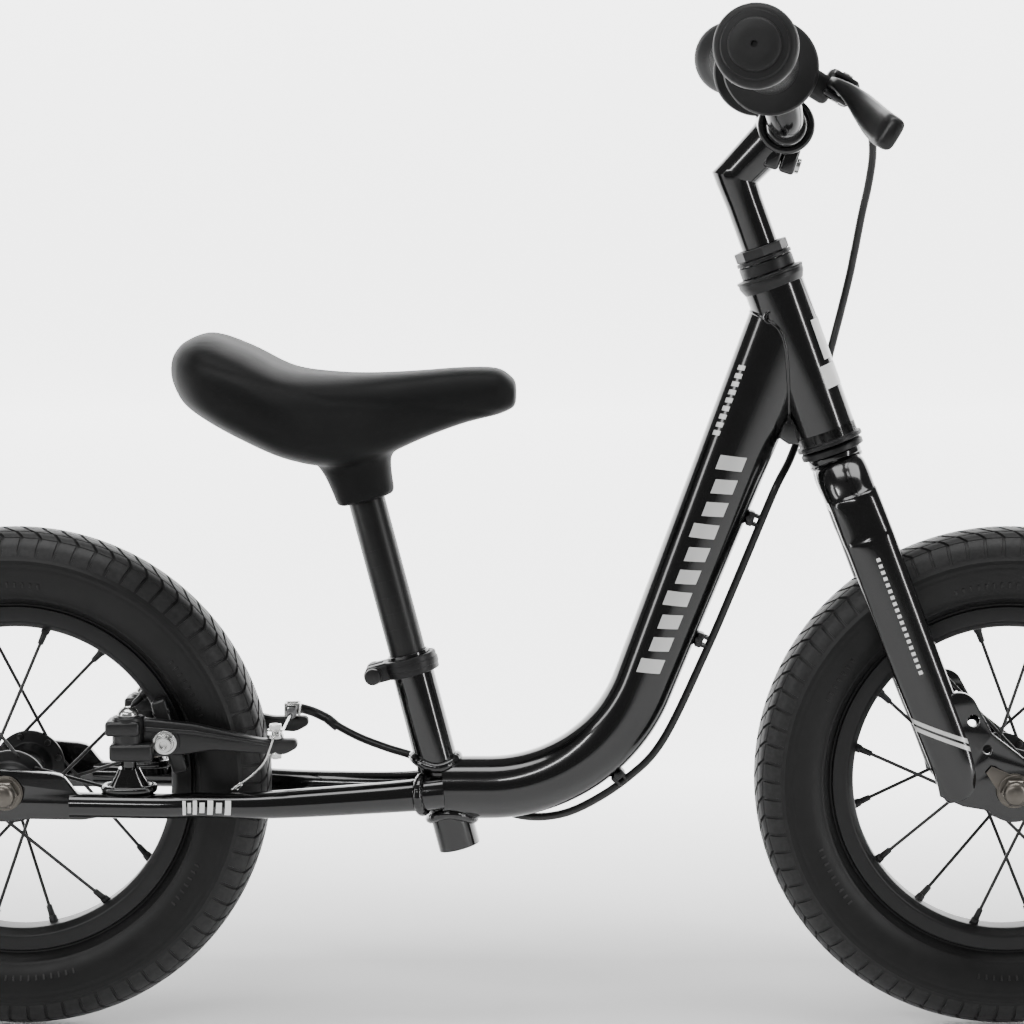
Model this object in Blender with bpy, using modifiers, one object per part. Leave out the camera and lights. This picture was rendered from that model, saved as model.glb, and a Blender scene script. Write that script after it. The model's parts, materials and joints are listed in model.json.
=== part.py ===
"""Child's balance bike: an aluminium frame, fork, two 12 inch wheels, saddle and one rear rim brake.

+X points forward, +Z up and -Y to the rider's right. The origin is on the ground, midway between the axles.
Sizes below are in millimetres and are scaled to metres where the solids are made.
"""

import math

import bmesh
import bpy
from mathutils import Matrix, Vector

MM = 0.001

# Overall sizes.
WHEELBASE = 600.0
TYRE_DIAMETER = 306.0
TYRE_WIDTH = 50.0
TYRE_WALL = 3.5
TYRE_TREAD_FLAT = 7.0

# Rim, spokes and hubs.
BEAD_SEAT_DIAMETER = 203.0
RIM_WIDTH = 25.0
RIM_FLANGE_HEIGHT = 4.5
RIM_DEPTH = 13.0
SPOKE_COUNT = 16
SPOKE_DIAMETER = 2.2
SPOKE_SWEEP = 50.0
HUB_FLANGE_DIAMETER = 44.0
HUB_BARREL_DIAMETER = 27.0
FRONT_HUB_WIDTH = 78.0
REAR_HUB_WIDTH = 90.0
FLANGE_INSET = 13.0
AXLE_DIAMETER = 9.5

# Frame tubes.
SEAT_TUBE_DIAMETER = 25.4
SEAT_TUBE_LEAN = 14.5
SEAT_TUBE_ABOVE = 86.0
SEAT_TUBE_BELOW = 38.0
SEAT_TUBE_BEHIND_TYRE = 105.0
MAIN_TUBE_DIAMETER = 38.1
MAIN_TUBE_TOP_DIAMETER = 46.5
MAIN_TUBE_LEAN = 21.4
MAIN_TUBE_BEND = 100.0
MAIN_TUBE_DROP = 7.0
HEAD_TUBE_DIAMETER = 36.4
HEAD_TUBE_LENGTH = 99.0
MAIN_TUBE_JOIN = 75.0
GUSSET_THICKNESS = 5.0
STAY_DIAMETER = 20.5
STAY_FLAT_HEIGHT = 15.0
STAY_SPREAD = 46.5
STAY_START_SPREAD = 12.5
STAY_DROP = 9.0
DROPOUT_THICKNESS = 6.0
DROPOUT_HEIGHT = 26.0
DROPOUT_LENGTH = 45.0

# Steering: the fork turns about a leaning axis that passes behind the front axle.
HEAD_LEAN = 20.0
FORK_RAKE = 32.0
TYRE_TO_CROWN = 70.0
STEERER_DIAMETER = 25.4
BLADE_SPREAD = 40.0
FORK_PLATE_THICKNESS = 5.0
FORK_PLATE_SPREAD = 42.0
CUP_DIAMETER = 40.4
CUP_HEIGHT = 7.5
RACE_HEIGHT = 5.0
LOCKNUT_HEIGHT = 9.0

# Stem, handlebar and grips.
QUILL_DIAMETER = 22.2
QUILL_LENGTH = 105.0
STEM_RISE = 68.0
STEM_REACH = 42.3
STEM_ANGLE = 43.8
STEM_CLAMP_DIAMETER = 34.0
STEM_CLAMP_WIDTH = 40.0
BAR_CENTRE_DIAMETER = 25.4
BAR_DIAMETER = 22.2
BAR_RISE = 30.6
BAR_HALF_LENGTH = 182.0
GRIP_START = 25.5
GRIP_LENGTH = 110.0
GRIP_CORE_DIAMETER = 30.0
GRIP_FLANGE_DIAMETER = 56.0
GRIP_BULB_DIAMETER = 47.0

# Saddle and seatpost.
SEATPOST_DIAMETER = 22.2
SEATPOST_LENGTH = 195.0
SADDLE_HEIGHT = 182.0
SADDLE_SOCKET_DEPTH = 26.0
SADDLE_REAR_WIDTH = 134.0
SADDLE_NOSE_WIDTH = 46.0
SADDLE_NECK_DIAMETER = 37.0
SEAT_CLAMP_DIAMETER = 33.0
SEAT_CLAMP_HEIGHT = 11.0

# Rear rim brake.
PIVOT_SPREAD = 40.0
PIVOT_AHEAD = 72.0
PAD_STUD_AHEAD = 94.0
PAD_LENGTH = 46.0
PAD_HEIGHT = 9.5
PAD_THICKNESS = 9.5
PAD_GAP = 2.4
ARM_THICKNESS = 8.0
ARM_INNER_FACE = 33.0
ARM_PAST_TYRE = 20.0
HOUSING_DIAMETER = 5.0
HOUSING_STEP = 13.0
LEVER_SQUARENESS = 0.6
WIRE_DIAMETER = 1.6
NOODLE_DIAMETER = 6.0
NOODLE_BORE = 4.0

# The bent guide pipe's route, from the middle of the wire.
NOODLE_ROUTE = [(0.0, 26.0, 0.0), (0.0, 34.0, 0.0), (0.0, 41.0, 0.0), (4.0, 47.0, -0.6), (12.0, 49.5, -3.5),
                (20.0, 48.0, -7.0)]

# Brake housing: the route's own places, chosen by hand, in millimetres from the origin.
UPPER_ROUTE = [(190.4, -44.0, 569.8), (191.5, -36.0, 569.9), (199.0, -21.0, 566.6), (208.5, -8.0, 557.5),
               (214.5, 2.0, 544.5), (216.4, 9.0, 529.5), (214.5, 13.0, 512.0), (210.8, 17.0, 493.0),
               (207.4, 20.4, 473.0)]
LOWER_ROUTE = [(207.0, 20.8, 471.2), (204.0, 23.0, 455.0), (197.0, 26.0, 425.0), (189.0, 27.0, 395.0),
               (178.0, 24.0, 368.0), (168.5, 12.0, 346.0), (161.5, 3.0, 334.0), (155.5, 0.0, 321.2),
               (136.6, 0.0, 275.0), (117.2, 0.0, 229.0), (91.6, 0.0, 175.3), (69.8, 0.0, 151.6),
               (42.6, 0.0, 134.1), (22.0, 4.5, 126.9), (2.0, 11.5, 126.4), (-14.0, 18.8, 132.6),
               (-30.0, 23.0, 142.0), (-48.0, 25.8, 152.8), (-62.0, 27.0, 159.8), (-78.0, 30.0, 164.3),
               (-96.0, 38.0, 169.5), (-111.5, 46.8, 175.8)]

# Clearances.
GAP = 0.3
SLIDE_GAP = 0.35
PIVOT_GAP = 0.35

ROUND = 16
WHEEL_FACETS = 36

BLACK_PAINT = ("black_paint", (0.012, 0.012, 0.013), 0.12, 0.0)
BLACK_ALLOY = ("black_alloy", (0.02, 0.02, 0.021), 0.35, 0.6)
TYRE_RUBBER = ("tyre_rubber", (0.03, 0.03, 0.031), 0.8, 0.0)
GRIP_RUBBER = ("grip_rubber", (0.028, 0.028, 0.028), 0.7, 0.0)
SADDLE_SKIN = ("saddle_skin", (0.024, 0.024, 0.025), 0.6, 0.0)
BRAKE_PLASTIC = ("brake_plastic", (0.02, 0.02, 0.02), 0.5, 0.0)
BRIGHT_STEEL = ("bright_steel", (0.6, 0.6, 0.58), 0.25, 1.0)
DARK_STEEL = ("dark_steel", (0.09, 0.085, 0.075), 0.4, 1.0)
HOUSING_SKIN = ("housing_skin", (0.02, 0.02, 0.02), 0.45, 0.0)

SIDES = {"right": -1.0, "left": 1.0}
UP = Vector((0, 0, 1))
SIDEWAYS = Vector((0, 1, 0))


def at(x, y, z):
    """A place in metres from millimetres."""
    return Vector((x, y, z)) * MM


def lean_back(degrees):
    """A unit direction in the centre plane, leaning back from vertical."""
    return Vector((-math.sin(math.radians(degrees)), 0, math.cos(math.radians(degrees))))


# Key places, in millimetres.
AXLE_HEIGHT = TYRE_DIAMETER / 2
REAR_AXLE = Vector((-WHEELBASE / 2, 0, AXLE_HEIGHT))
FRONT_AXLE = Vector((WHEELBASE / 2, 0, AXLE_HEIGHT))
STEER_UP = lean_back(HEAD_LEAN)
STEER_AHEAD = Vector((STEER_UP.z, 0, -STEER_UP.x))
STEER_FOOT = FRONT_AXLE - FORK_RAKE * STEER_AHEAD
SEAT_UP = lean_back(SEAT_TUBE_LEAN)
SEAT_FOOT = REAR_AXLE + Vector((AXLE_HEIGHT + SEAT_TUBE_BEHIND_TYRE, 0, -MAIN_TUBE_DROP))
CROWN_TOP = AXLE_HEIGHT + TYRE_TO_CROWN
LOWER_CUP_BASE = CROWN_TOP + RACE_HEIGHT + GAP
HEAD_BASE = LOWER_CUP_BASE + CUP_HEIGHT - RACE_HEIGHT + GAP
HEAD_TOP = HEAD_BASE + HEAD_TUBE_LENGTH
UPPER_CUP_TOP = HEAD_TOP + GAP + CUP_HEIGHT
LOCKNUT_BASE = UPPER_CUP_TOP + 2 * GAP + RACE_HEIGHT + 2.0
LOCKNUT_TOP = LOCKNUT_BASE + LOCKNUT_HEIGHT
STEM_ELBOW = HEAD_TOP + STEM_RISE
STEM_DIRECTION = Vector((math.cos(math.radians(90 - STEM_ANGLE)), 0, math.sin(math.radians(90 - STEM_ANGLE))))
BRAKE_LEVEL = AXLE_HEIGHT + 28.6
RIM_OUTER = BEAD_SEAT_DIAMETER / 2 + RIM_FLANGE_HEIGHT
RIM_INNER = RIM_OUTER - RIM_DEPTH


def on_steering(along, ahead=0.0, side=0.0):
    """A place measured from the steering axis's foot, beside the front axle."""
    return STEER_FOOT + along * STEER_UP + ahead * STEER_AHEAD + side * SIDEWAYS


def on_seat_tube(along, ahead=0.0, side=0.0):
    """A place measured along the seat tube from its crossing with the main tube."""
    return SEAT_FOOT + along * SEAT_UP + ahead * Vector((SEAT_UP.z, 0, -SEAT_UP.x)) + side * SIDEWAYS


BAR_CENTRE = on_steering(STEM_ELBOW) + STEM_REACH * STEM_DIRECTION
LEVER_PULL = Vector((-0.856, 0, 0.517))
LEVER_AXIS = Vector((-0.517, 0, -0.856))
LEVER_PIVOT = BAR_CENTRE + Vector((27.687, -76.0, 21.416))
SADDLE_BASE = on_seat_tube(SADDLE_HEIGHT)
MAIN_TUBE_TOP = on_steering(HEAD_BASE + MAIN_TUBE_JOIN)
BRAKE_PIVOT_X = REAR_AXLE.x + PIVOT_AHEAD
ARM_END_X = REAR_AXLE.x + AXLE_HEIGHT + ARM_PAST_TYRE
WIRE_X = ARM_END_X - 10.0
ARM_END_TOP = BRAKE_LEVEL + 1.5
WIRE_Z = ARM_END_TOP + 3.6


def clear_scene():
    for item in list(bpy.data.objects):
        bpy.data.objects.remove(item, do_unlink=True)


def new_collection(name, hidden=False):
    collection = bpy.data.collections.new(name)
    collection.hide_render = hidden
    bpy.context.scene.collection.children.link(collection)
    return collection


def material(spec):
    name, colour, roughness, metallic = spec
    found = bpy.data.materials.get(name)
    if found:
        return found
    made = bpy.data.materials.new(name)
    made.use_nodes = True
    shader = made.node_tree.nodes["Principled BSDF"]
    shader.inputs["Base Color"].default_value = (*colour, 1.0)
    shader.inputs["Roughness"].default_value = roughness
    shader.inputs["Metallic"].default_value = metallic
    return made


class Bike:
    """Holds the collections and the empties that the pieces hang from."""

    def __init__(self):
        self.parts = new_collection("balance_bike")
        self.cutters = new_collection("cutters", hidden=True)
        self.bodies = {}
        self.body = None

    def add_body(self, name, place_mm, parent=None):
        empty = bpy.data.objects.new(name + "_axis", None)
        empty.empty_display_size = 0.03
        self.parts.objects.link(empty)
        matrix = Matrix.Translation(place_mm * MM)
        self.bodies[name] = (empty, matrix)
        if parent:
            empty.parent = self.bodies[parent][0]
            matrix = self.bodies[parent][1].inverted() @ matrix
        empty.matrix_local = matrix

    def use_body(self, name):
        self.body = name

    def place(self, item, matrix, finish=None):
        """Hang a piece from the current body's empty, at a world matrix."""
        empty, where = self.bodies[self.body]
        self.parts.objects.link(item)
        item.parent = empty
        item.matrix_local = where.inverted() @ matrix
        item.data.materials.clear()
        item.data.materials.append(material(finish))

    def hide(self, item, matrix):
        """Keep a cutter or a joined shape out of the model."""
        self.cutters.objects.link(item)
        item.matrix_local = matrix
        item.hide_render = True
        item.display_type = "WIRE"

    def keep(self, item, matrix, finish):
        if finish:
            self.place(item, matrix, finish)
        else:
            self.hide(item, matrix)
        return item


bike = None


def smooth(mesh, angle=35.0):
    mesh.shade_smooth()
    mesh.set_sharp_from_angle(angle=math.radians(angle))


def mesh_object(name, bm, matrix, finish, angle=35.0):
    mesh = bpy.data.meshes.new(name)
    bmesh.ops.recalc_face_normals(bm, faces=bm.faces)
    bm.to_mesh(mesh)
    bm.free()
    smooth(mesh, angle)
    return bike.keep(bpy.data.objects.new(name, mesh), matrix, finish)


def aligned(start_mm, end_mm):
    """A world matrix at the middle of two places, with its Z along them."""
    middle = (start_mm + end_mm) * 0.5 * MM
    turn = (end_mm - start_mm).normalized().to_track_quat("Z", "Y").to_matrix().to_4x4()
    return Matrix.Translation(middle) @ turn


def rod(name, start_mm, end_mm, diameter, finish=None, end_diameter=None, segments=ROUND):
    bm = bmesh.new()
    last = diameter if end_diameter is None else end_diameter
    bmesh.ops.create_cone(bm, cap_ends=True, segments=segments, radius1=diameter / 2 * MM,
                          radius2=last / 2 * MM, depth=(end_mm - start_mm).length * MM)
    return mesh_object(name, bm, aligned(start_mm, end_mm), finish)


def block(name, centre_mm, size_mm, finish=None, turn=None, bevel=0.0):
    bm = bmesh.new()
    bmesh.ops.create_cube(bm, size=1.0)
    bmesh.ops.scale(bm, vec=Vector(size_mm) * MM, verts=bm.verts)
    if bevel:
        bmesh.ops.bevel(bm, geom=bm.edges[:], offset=bevel * MM, segments=1, affect="EDGES", profile=0.5)
    matrix = Matrix.Translation(centre_mm * MM) @ (turn or Matrix.Identity(4))
    return mesh_object(name, bm, matrix, finish)


def turned(name, profile, base_mm, axis, finish=None, closed=True, steps=ROUND):
    """Turn a profile of (radius, height) about an axis. Its outer side runs from top to bottom."""
    mesh = bpy.data.meshes.new(name)
    points = [(radius * MM, 0.0, height * MM) for radius, height in profile]
    edges = [(i, i + 1) for i in range(len(points) - 1)]
    if closed:
        edges.append((len(points) - 1, 0))
    mesh.from_pydata(points, edges, [])
    item = bpy.data.objects.new(name, mesh)
    screw = item.modifiers.new("turn", "SCREW")
    screw.axis = "Z"
    screw.angle = 2 * math.pi
    screw.steps = steps
    screw.render_steps = steps
    screw.use_merge_vertices = True
    screw.merge_threshold = 0.00001
    screw.use_smooth_shade = True
    turn = axis.normalized().to_track_quat("Z", "Y").to_matrix().to_4x4()
    return bike.keep(item, Matrix.Translation(base_mm * MM) @ turn, finish)


def made_mesh(item):
    """The evaluated mesh of an object that isn't in the scene for good."""
    bpy.context.scene.collection.objects.link(item)
    bpy.context.view_layer.update()
    evaluated = item.evaluated_get(bpy.context.evaluated_depsgraph_get())
    mesh = bpy.data.meshes.new_from_object(evaluated)
    bm = bmesh.new()
    bm.from_mesh(mesh)
    bmesh.ops.remove_doubles(bm, verts=bm.verts, dist=0.000001)
    bmesh.ops.recalc_face_normals(bm, faces=bm.faces)
    bm.to_mesh(mesh)
    bm.free()
    curve = item.data
    bpy.data.objects.remove(item, do_unlink=True)
    bpy.data.curves.remove(curve)
    return mesh


def tube(name, points_mm, diameters, finish=None, resolution=3):
    """A round tube along points, with one diameter or one for each point."""
    curve = bpy.data.curves.new(name, "CURVE")
    curve.dimensions = "3D"
    curve.bevel_depth = MM
    curve.bevel_resolution = resolution
    curve.use_fill_caps = True
    spline = curve.splines.new("POLY")
    spline.points.add(len(points_mm) - 1)
    for i, place in enumerate(points_mm):
        spline.points[i].co = (*(place * MM), 1.0)
        size = diameters if isinstance(diameters, (int, float)) else diameters[i]
        spline.points[i].radius = size / 2
    mesh = made_mesh(bpy.data.objects.new(name + "_path", curve))
    smooth(mesh)
    return bike.keep(bpy.data.objects.new(name, mesh), Matrix.Identity(4), finish)


def plate(name, outlines_mm, thickness, middle_y, finish=None):
    """A flat plate in the X-Z plane: the first outline is its edge, the others are holes."""
    curve = bpy.data.curves.new(name, "CURVE")
    curve.dimensions = "2D"
    curve.fill_mode = "BOTH"
    curve.extrude = thickness / 2 * MM
    for outline in outlines_mm:
        spline = curve.splines.new("POLY")
        spline.points.add(len(outline) - 1)
        for i, (x, z) in enumerate(outline):
            spline.points[i].co = (x * MM, z * MM, 0.0, 1.0)
        spline.use_cyclic_u = True
    mesh = made_mesh(bpy.data.objects.new(name + "_outline", curve))
    smooth(mesh)
    matrix = Matrix.Translation(at(0, middle_y, 0)) @ Matrix.Rotation(math.radians(90), 4, "X")
    return bike.keep(bpy.data.objects.new(name, mesh), matrix, finish)


def loft(name, rings_mm, finish=None, angle=35.0):
    """A closed skin over rings of places, each with the same number of them."""
    bm = bmesh.new()
    rings = [[bm.verts.new(place * MM) for place in ring] for ring in rings_mm]
    count = len(rings[0])
    for low, high in zip(rings, rings[1:]):
        for i in range(count):
            bm.faces.new((low[i], low[(i + 1) % count], high[(i + 1) % count], high[i]))
    bm.faces.new(rings[0][::-1])
    bm.faces.new(rings[-1])
    return mesh_object(name, bm, Matrix.Identity(4), finish, angle)


def combine(target, others, operation):
    for other in others:
        step = target.modifiers.new(operation.lower(), "BOOLEAN")
        step.operation = operation
        step.object = other
        step.solver = "EXACT"


def cut(target, *cutters):
    combine(target, cutters, "DIFFERENCE")


def unite(target, *others):
    combine(target, others, "UNION")


def arc(centre_x, centre_z, radius, first, last, count):
    """Places on an arc in the X-Z plane, with angles in degrees from +X towards +Z."""
    steps = [math.radians(first + (last - first) * i / (count - 1)) for i in range(count)]
    return [(centre_x + radius * math.cos(a), centre_z + radius * math.sin(a)) for a in steps]


def circle(centre_x, centre_z, radius, count=20):
    return arc(centre_x, centre_z, radius, 0, 360 - 360 / count, count)


def rounded(corners_mm, radius, count=6):
    """A path through corners, each replaced by a smooth bend that starts a radius away from it."""
    path = [corners_mm[0]]
    for before, corner, after in zip(corners_mm, corners_mm[1:], corners_mm[2:]):
        reach_in = min(radius, (before - corner).length * 0.49)
        reach_out = min(radius, (after - corner).length * 0.49)
        first = corner + (before - corner).normalized() * reach_in
        last = corner + (after - corner).normalized() * reach_out
        for i in range(count + 1):
            t = i / count
            path.append(first * (1 - t) ** 2 + corner * 2 * t * (1 - t) + last * t ** 2)
    path.append(corners_mm[-1])
    return path


def smooth_route(points_mm, spacing):
    """Evenly spaced places on a smooth curve through a route's own points."""
    ends = [points_mm[0] * 2 - points_mm[1]] + points_mm + [points_mm[-1] * 2 - points_mm[-2]]
    dense = []
    for a, b, c, d in zip(ends, ends[1:], ends[2:], ends[3:]):
        for i in range(24):
            t = i / 24
            dense.append(0.5 * (2 * b + (c - a) * t + (2 * a - 5 * b + 4 * c - d) * t ** 2
                                + (3 * b - a - 3 * c + d) * t ** 3))
    dense.append(points_mm[-1])
    total = sum((b - a).length for a, b in zip(dense, dense[1:]))
    count = max(2, round(total / spacing))
    places, walked, goal = [dense[0]], 0.0, total / count
    for a, b in zip(dense, dense[1:]):
        step = (b - a).length
        while len(places) < count and walked + step >= goal:
            places.append(a.lerp(b, (goal - walked) / step))
            goal += total / count
        walked += step
    places.append(dense[-1])
    return places


def ring_profile(inner, outer, low, high):
    """A plain ring's section as (radius, height)."""
    return [(outer / 2, high), (outer / 2, low), (inner / 2, low), (inner / 2, high)]


# Frame.


def main_tube_places():
    """The main tube's centre line: level from the seat tube, one bend, then straight to the head tube."""
    lean = math.radians(MAIN_TUBE_LEAN)
    rise = Vector((math.sin(lean), 0, math.cos(lean)))
    corner = MAIN_TUBE_TOP - rise * ((MAIN_TUBE_TOP.z - SEAT_FOOT.z) / rise.z)
    reach = MAIN_TUBE_BEND * math.tan((math.pi / 2 - lean) / 2)
    centre = Vector((corner.x - reach, 0, SEAT_FOOT.z + MAIN_TUBE_BEND))
    bend = [centre + MAIN_TUBE_BEND * Vector((math.sin(a), 0, -math.cos(a)))
            for a in [(math.pi / 2 - lean) * i / 12 for i in range(13)]]
    straight = [bend[-1].lerp(MAIN_TUBE_TOP, i / 6) for i in range(1, 7)]
    return [SEAT_FOOT.copy()] + bend + straight


def main_tube_diameters(count):
    grown = [0.0] * (count - 7) + [i / 6 for i in range(7)]
    return [MAIN_TUBE_DIAMETER + (MAIN_TUBE_TOP_DIAMETER - MAIN_TUBE_DIAMETER) * g for g in grown]


def head_tube_void(name, extra):
    return rod(name, on_steering(HEAD_BASE - 40), on_steering(HEAD_TOP + 40), HEAD_TUBE_DIAMETER + 2 * extra)


def seat_tube_void(name, extra):
    return rod(name, on_seat_tube(-SEAT_TUBE_BELOW - 20), on_seat_tube(SEAT_TUBE_ABOVE + 20),
               SEAT_TUBE_DIAMETER + 2 * extra)


def make_main_tube():
    places = main_tube_places()
    sizes = main_tube_diameters(len(places))
    main = tube("down_tube", places, sizes, BLACK_PAINT, resolution=6)
    gusset_low = on_steering(HEAD_BASE + 3)
    gusset_high = on_steering(HEAD_BASE + 30)
    behind = places[-3]
    web = plate("gusset", [[(gusset_low.x, gusset_low.z), (gusset_high.x, gusset_high.z),
                            (behind.x, behind.z), (behind.x + 22, behind.z - 18)]], GUSSET_THICKNESS, 0)
    unite(main, web)
    cup_room = rod("cup_room", on_steering(LOWER_CUP_BASE - 20), on_steering(HEAD_BASE + GAP),
                   CUP_DIAMETER + 2 * GAP)
    cut(main, head_tube_void("head_tube_room", GAP), seat_tube_void("seat_tube_room", GAP), cup_room)
    return places, sizes


def make_head_tube():
    bore = STEERER_DIAMETER + 2 * 2.0
    turned("head_tube", ring_profile(bore, HEAD_TUBE_DIAMETER, 0, HEAD_TUBE_LENGTH),
           on_steering(HEAD_BASE), STEER_UP, BLACK_PAINT)
    spigot = bore - 2 * GAP
    spacing = STEERER_DIAMETER + 2 * SLIDE_GAP
    lower = CUP_HEIGHT - RACE_HEIGHT
    lower_profile = [(spigot / 2, 10.0), (spigot / 2, lower), (CUP_DIAMETER / 2, lower),
                     (CUP_DIAMETER / 2, 0.0), (spacing / 2, 0.0), (spacing / 2, 10.0)]
    turned("lower_cup", lower_profile, on_steering(LOWER_CUP_BASE), STEER_UP, BLACK_ALLOY)
    upper_profile = [(CUP_DIAMETER / 2 - 2.5, CUP_HEIGHT), (CUP_DIAMETER / 2, CUP_HEIGHT - 2.5),
                     (CUP_DIAMETER / 2, 3.0), (HEAD_TUBE_DIAMETER / 2, 0.0), (spigot / 2, 0.0),
                     (spigot / 2, -8.0), (spacing / 2, -8.0), (spacing / 2, CUP_HEIGHT)]
    turned("upper_cup", upper_profile, on_steering(HEAD_TOP + GAP), STEER_UP, BLACK_ALLOY)


def make_seat_tube():
    bore = SEATPOST_DIAMETER + 2 * SLIDE_GAP
    turned("seat_tube", ring_profile(bore, SEAT_TUBE_DIAMETER, -SEAT_TUBE_BELOW, SEAT_TUBE_ABOVE),
           on_seat_tube(0), SEAT_UP, BLACK_PAINT)


def make_seat_clamp():
    """A ring round the seat tube's mouth, slit behind, with a bolt across two ears."""
    low = SEAT_TUBE_ABOVE - SEAT_CLAMP_HEIGHT - 2
    middle = low + SEAT_CLAMP_HEIGHT / 2
    inner = SEAT_TUBE_DIAMETER + 2 * GAP
    ring = rod("seat_clamp", on_seat_tube(low), on_seat_tube(low + SEAT_CLAMP_HEIGHT), SEAT_CLAMP_DIAMETER,
               BLACK_ALLOY)
    ear_reach = SEAT_CLAMP_DIAMETER / 2 + 7
    turn = Matrix.Rotation(-math.radians(SEAT_TUBE_LEAN), 4, "Y")
    ears = block("clamp_ears", on_seat_tube(middle, -ear_reach + 4), (16, 20, SEAT_CLAMP_HEIGHT), turn=turn,
                 bevel=1.5)
    clear = rod("clamp_clear", on_seat_tube(low - 5), on_seat_tube(low + SEAT_CLAMP_HEIGHT + 5), inner)
    slit = block("clamp_slit", on_seat_tube(middle, -ear_reach), (30, 2.0, 30), turn=turn)
    bolt_at = -ear_reach + 0.5
    hole = rod("clamp_hole", on_seat_tube(middle, bolt_at, -20), on_seat_tube(middle, bolt_at, 20),
               6.0 + 2 * GAP)
    unite(ring, ears)
    cut(ring, clear, slit, hole)
    bolt = rod("seat_clamp_bolt", on_seat_tube(middle, bolt_at, -13), on_seat_tube(middle, bolt_at, 15), 6.0,
               BLACK_ALLOY)
    head = rod("clamp_bolt_head", on_seat_tube(middle, bolt_at, -16), on_seat_tube(middle, bolt_at, -10 - GAP),
               10.0)
    nut = rod("clamp_bolt_nut", on_seat_tube(middle, bolt_at, 10 + GAP), on_seat_tube(middle, bolt_at, 14.5), 10.0,
              segments=6)
    unite(bolt, head, nut)


def stay_path(side):
    front = REAR_AXLE.x + AXLE_HEIGHT
    height = AXLE_HEIGHT - STAY_DROP
    start = SEAT_FOOT.x
    return [Vector((start, side * STAY_START_SPREAD, SEAT_FOOT.z - 1)),
            Vector((start - 30, side * (STAY_START_SPREAD + 3), height - 1)),
            Vector((front + 22, side * 28.0, height - 2)),
            Vector((front - 10, side * 37.5, height - 1.5)),
            Vector((front - 40, side * 43.5, height)),
            Vector((front - 62, side * STAY_SPREAD, height)),
            Vector((REAR_AXLE.x + 38, side * (STAY_SPREAD + 1), height + 1))]


def stay_rings(side, extra=0.0):
    """Sections of a stay: round by the seat tube, flattened beside the tyre."""
    path = smooth_route(stay_path(side), 22.0)
    rings = []
    for i, place in enumerate(path):
        along = (path[min(i + 1, len(path) - 1)] - path[max(i - 1, 0)]).normalized()
        across = UP.cross(along).normalized()
        above = along.cross(across)
        flat = min(1.0, i / (len(path) * 0.6))
        tall = (STAY_DIAMETER + (STAY_FLAT_HEIGHT - STAY_DIAMETER) * flat) / 2 + extra
        wide = (STAY_DIAMETER - 3.0 * flat) / 2 + extra
        rings.append([place + across * wide * math.cos(a) + above * tall * math.sin(a)
                      for a in [2 * math.pi * k / 14 for k in range(14)]])
    return rings


def make_stay(name, side):
    """One rear stay with its dropout plate welded on."""
    stay = loft(name, stay_rings(side), BLACK_PAINT)
    x, z = REAR_AXLE.x, REAR_AXLE.z
    half = DROPOUT_HEIGHT / 2
    outline = arc(x, z - 2, half + 3, 100, 260, 12)
    outline += [(x + 12, z - half - 3), (x + DROPOUT_LENGTH + 10, z - half - 2)]
    outline += [(x + DROPOUT_LENGTH + 12, z - 4), (x + DROPOUT_LENGTH - 3, z - 1)]
    outline += [(x + 34, z + half - 3), (x + 28, z + half - 1.5), (x + 10, z + half)]
    middle = side * (REAR_HUB_WIDTH / 2 + DROPOUT_THICKNESS / 2 + GAP)
    dropout = plate(name + "_dropout", [outline], DROPOUT_THICKNESS, middle)
    hole = rod(name + "_axle_hole", REAR_AXLE + side * 30 * SIDEWAYS, REAR_AXLE + side * 60 * SIDEWAYS,
               AXLE_DIAMETER + 2 * GAP)
    unite(stay, dropout)
    room = tube(name + "_main_room", main_tube_places()[:6], MAIN_TUBE_DIAMETER + 2 * GAP, resolution=6)
    past_middle = block(name + "_middle_room", Vector((SEAT_FOOT.x, -side * 30, SEAT_FOOT.z)),
                        (240, 60 + 2 * GAP, 80))
    cut(stay, hole, seat_tube_void(name + "_seat_room", GAP), room, past_middle)


def make_brake_boss(name, side):
    """A pivot post for a brake arm, welded on the stay."""
    foot = Vector((BRAKE_PIVOT_X, side * PIVOT_SPREAD, AXLE_HEIGHT - 6))
    collar = foot + 10 * UP
    top = Vector((foot.x, foot.y, BRAKE_LEVEL + 14))
    boss = rod(name, collar, top, 9.0, BLACK_PAINT)
    base = rod(name + "_base", foot, collar + 8 * UP, 20.0, end_diameter=13.0)
    thread = rod(name + "_thread", top - 12 * UP, top + 5 * UP, 5.0 + 2 * GAP)
    unite(boss, base)
    cut(boss, loft(name + "_stay_room", stay_rings(side, GAP)), thread)


def clip_place(places, sizes, index):
    """Where a clip sits: outside the main tube's bend, at one of its centre line's places."""
    along = (places[index + 1] - places[index - 1]).normalized()
    outside = Vector((along.z, 0, -along.x))
    return places[index], along, outside, sizes[index] / 2


def make_cable_clips(places, sizes):
    """Small clips that hold the brake housing to the main tube."""
    for number, index in enumerate((len(places) - 4, len(places) - 6, 8), start=1):
        place, along, outside, radius = clip_place(places, sizes, index)
        middle = place + outside * (radius + GAP + 3.4)
        turn = Matrix((along, SIDEWAYS, outside)).transposed().to_4x4()
        clip = block(f"cable_clip_{number}", middle, (13, 13, 6.6), BRAKE_PLASTIC, turn, bevel=1.0)
        groove = tube(f"clip_{number}_groove", housing_places(LOWER_ROUTE), HOUSING_DIAMETER + 2 * GAP, resolution=2)
        room = tube(f"clip_{number}_room", places, [size + 2 * GAP for size in sizes], resolution=6)
        cut(clip, groove, room)


# Wheels.


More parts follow.
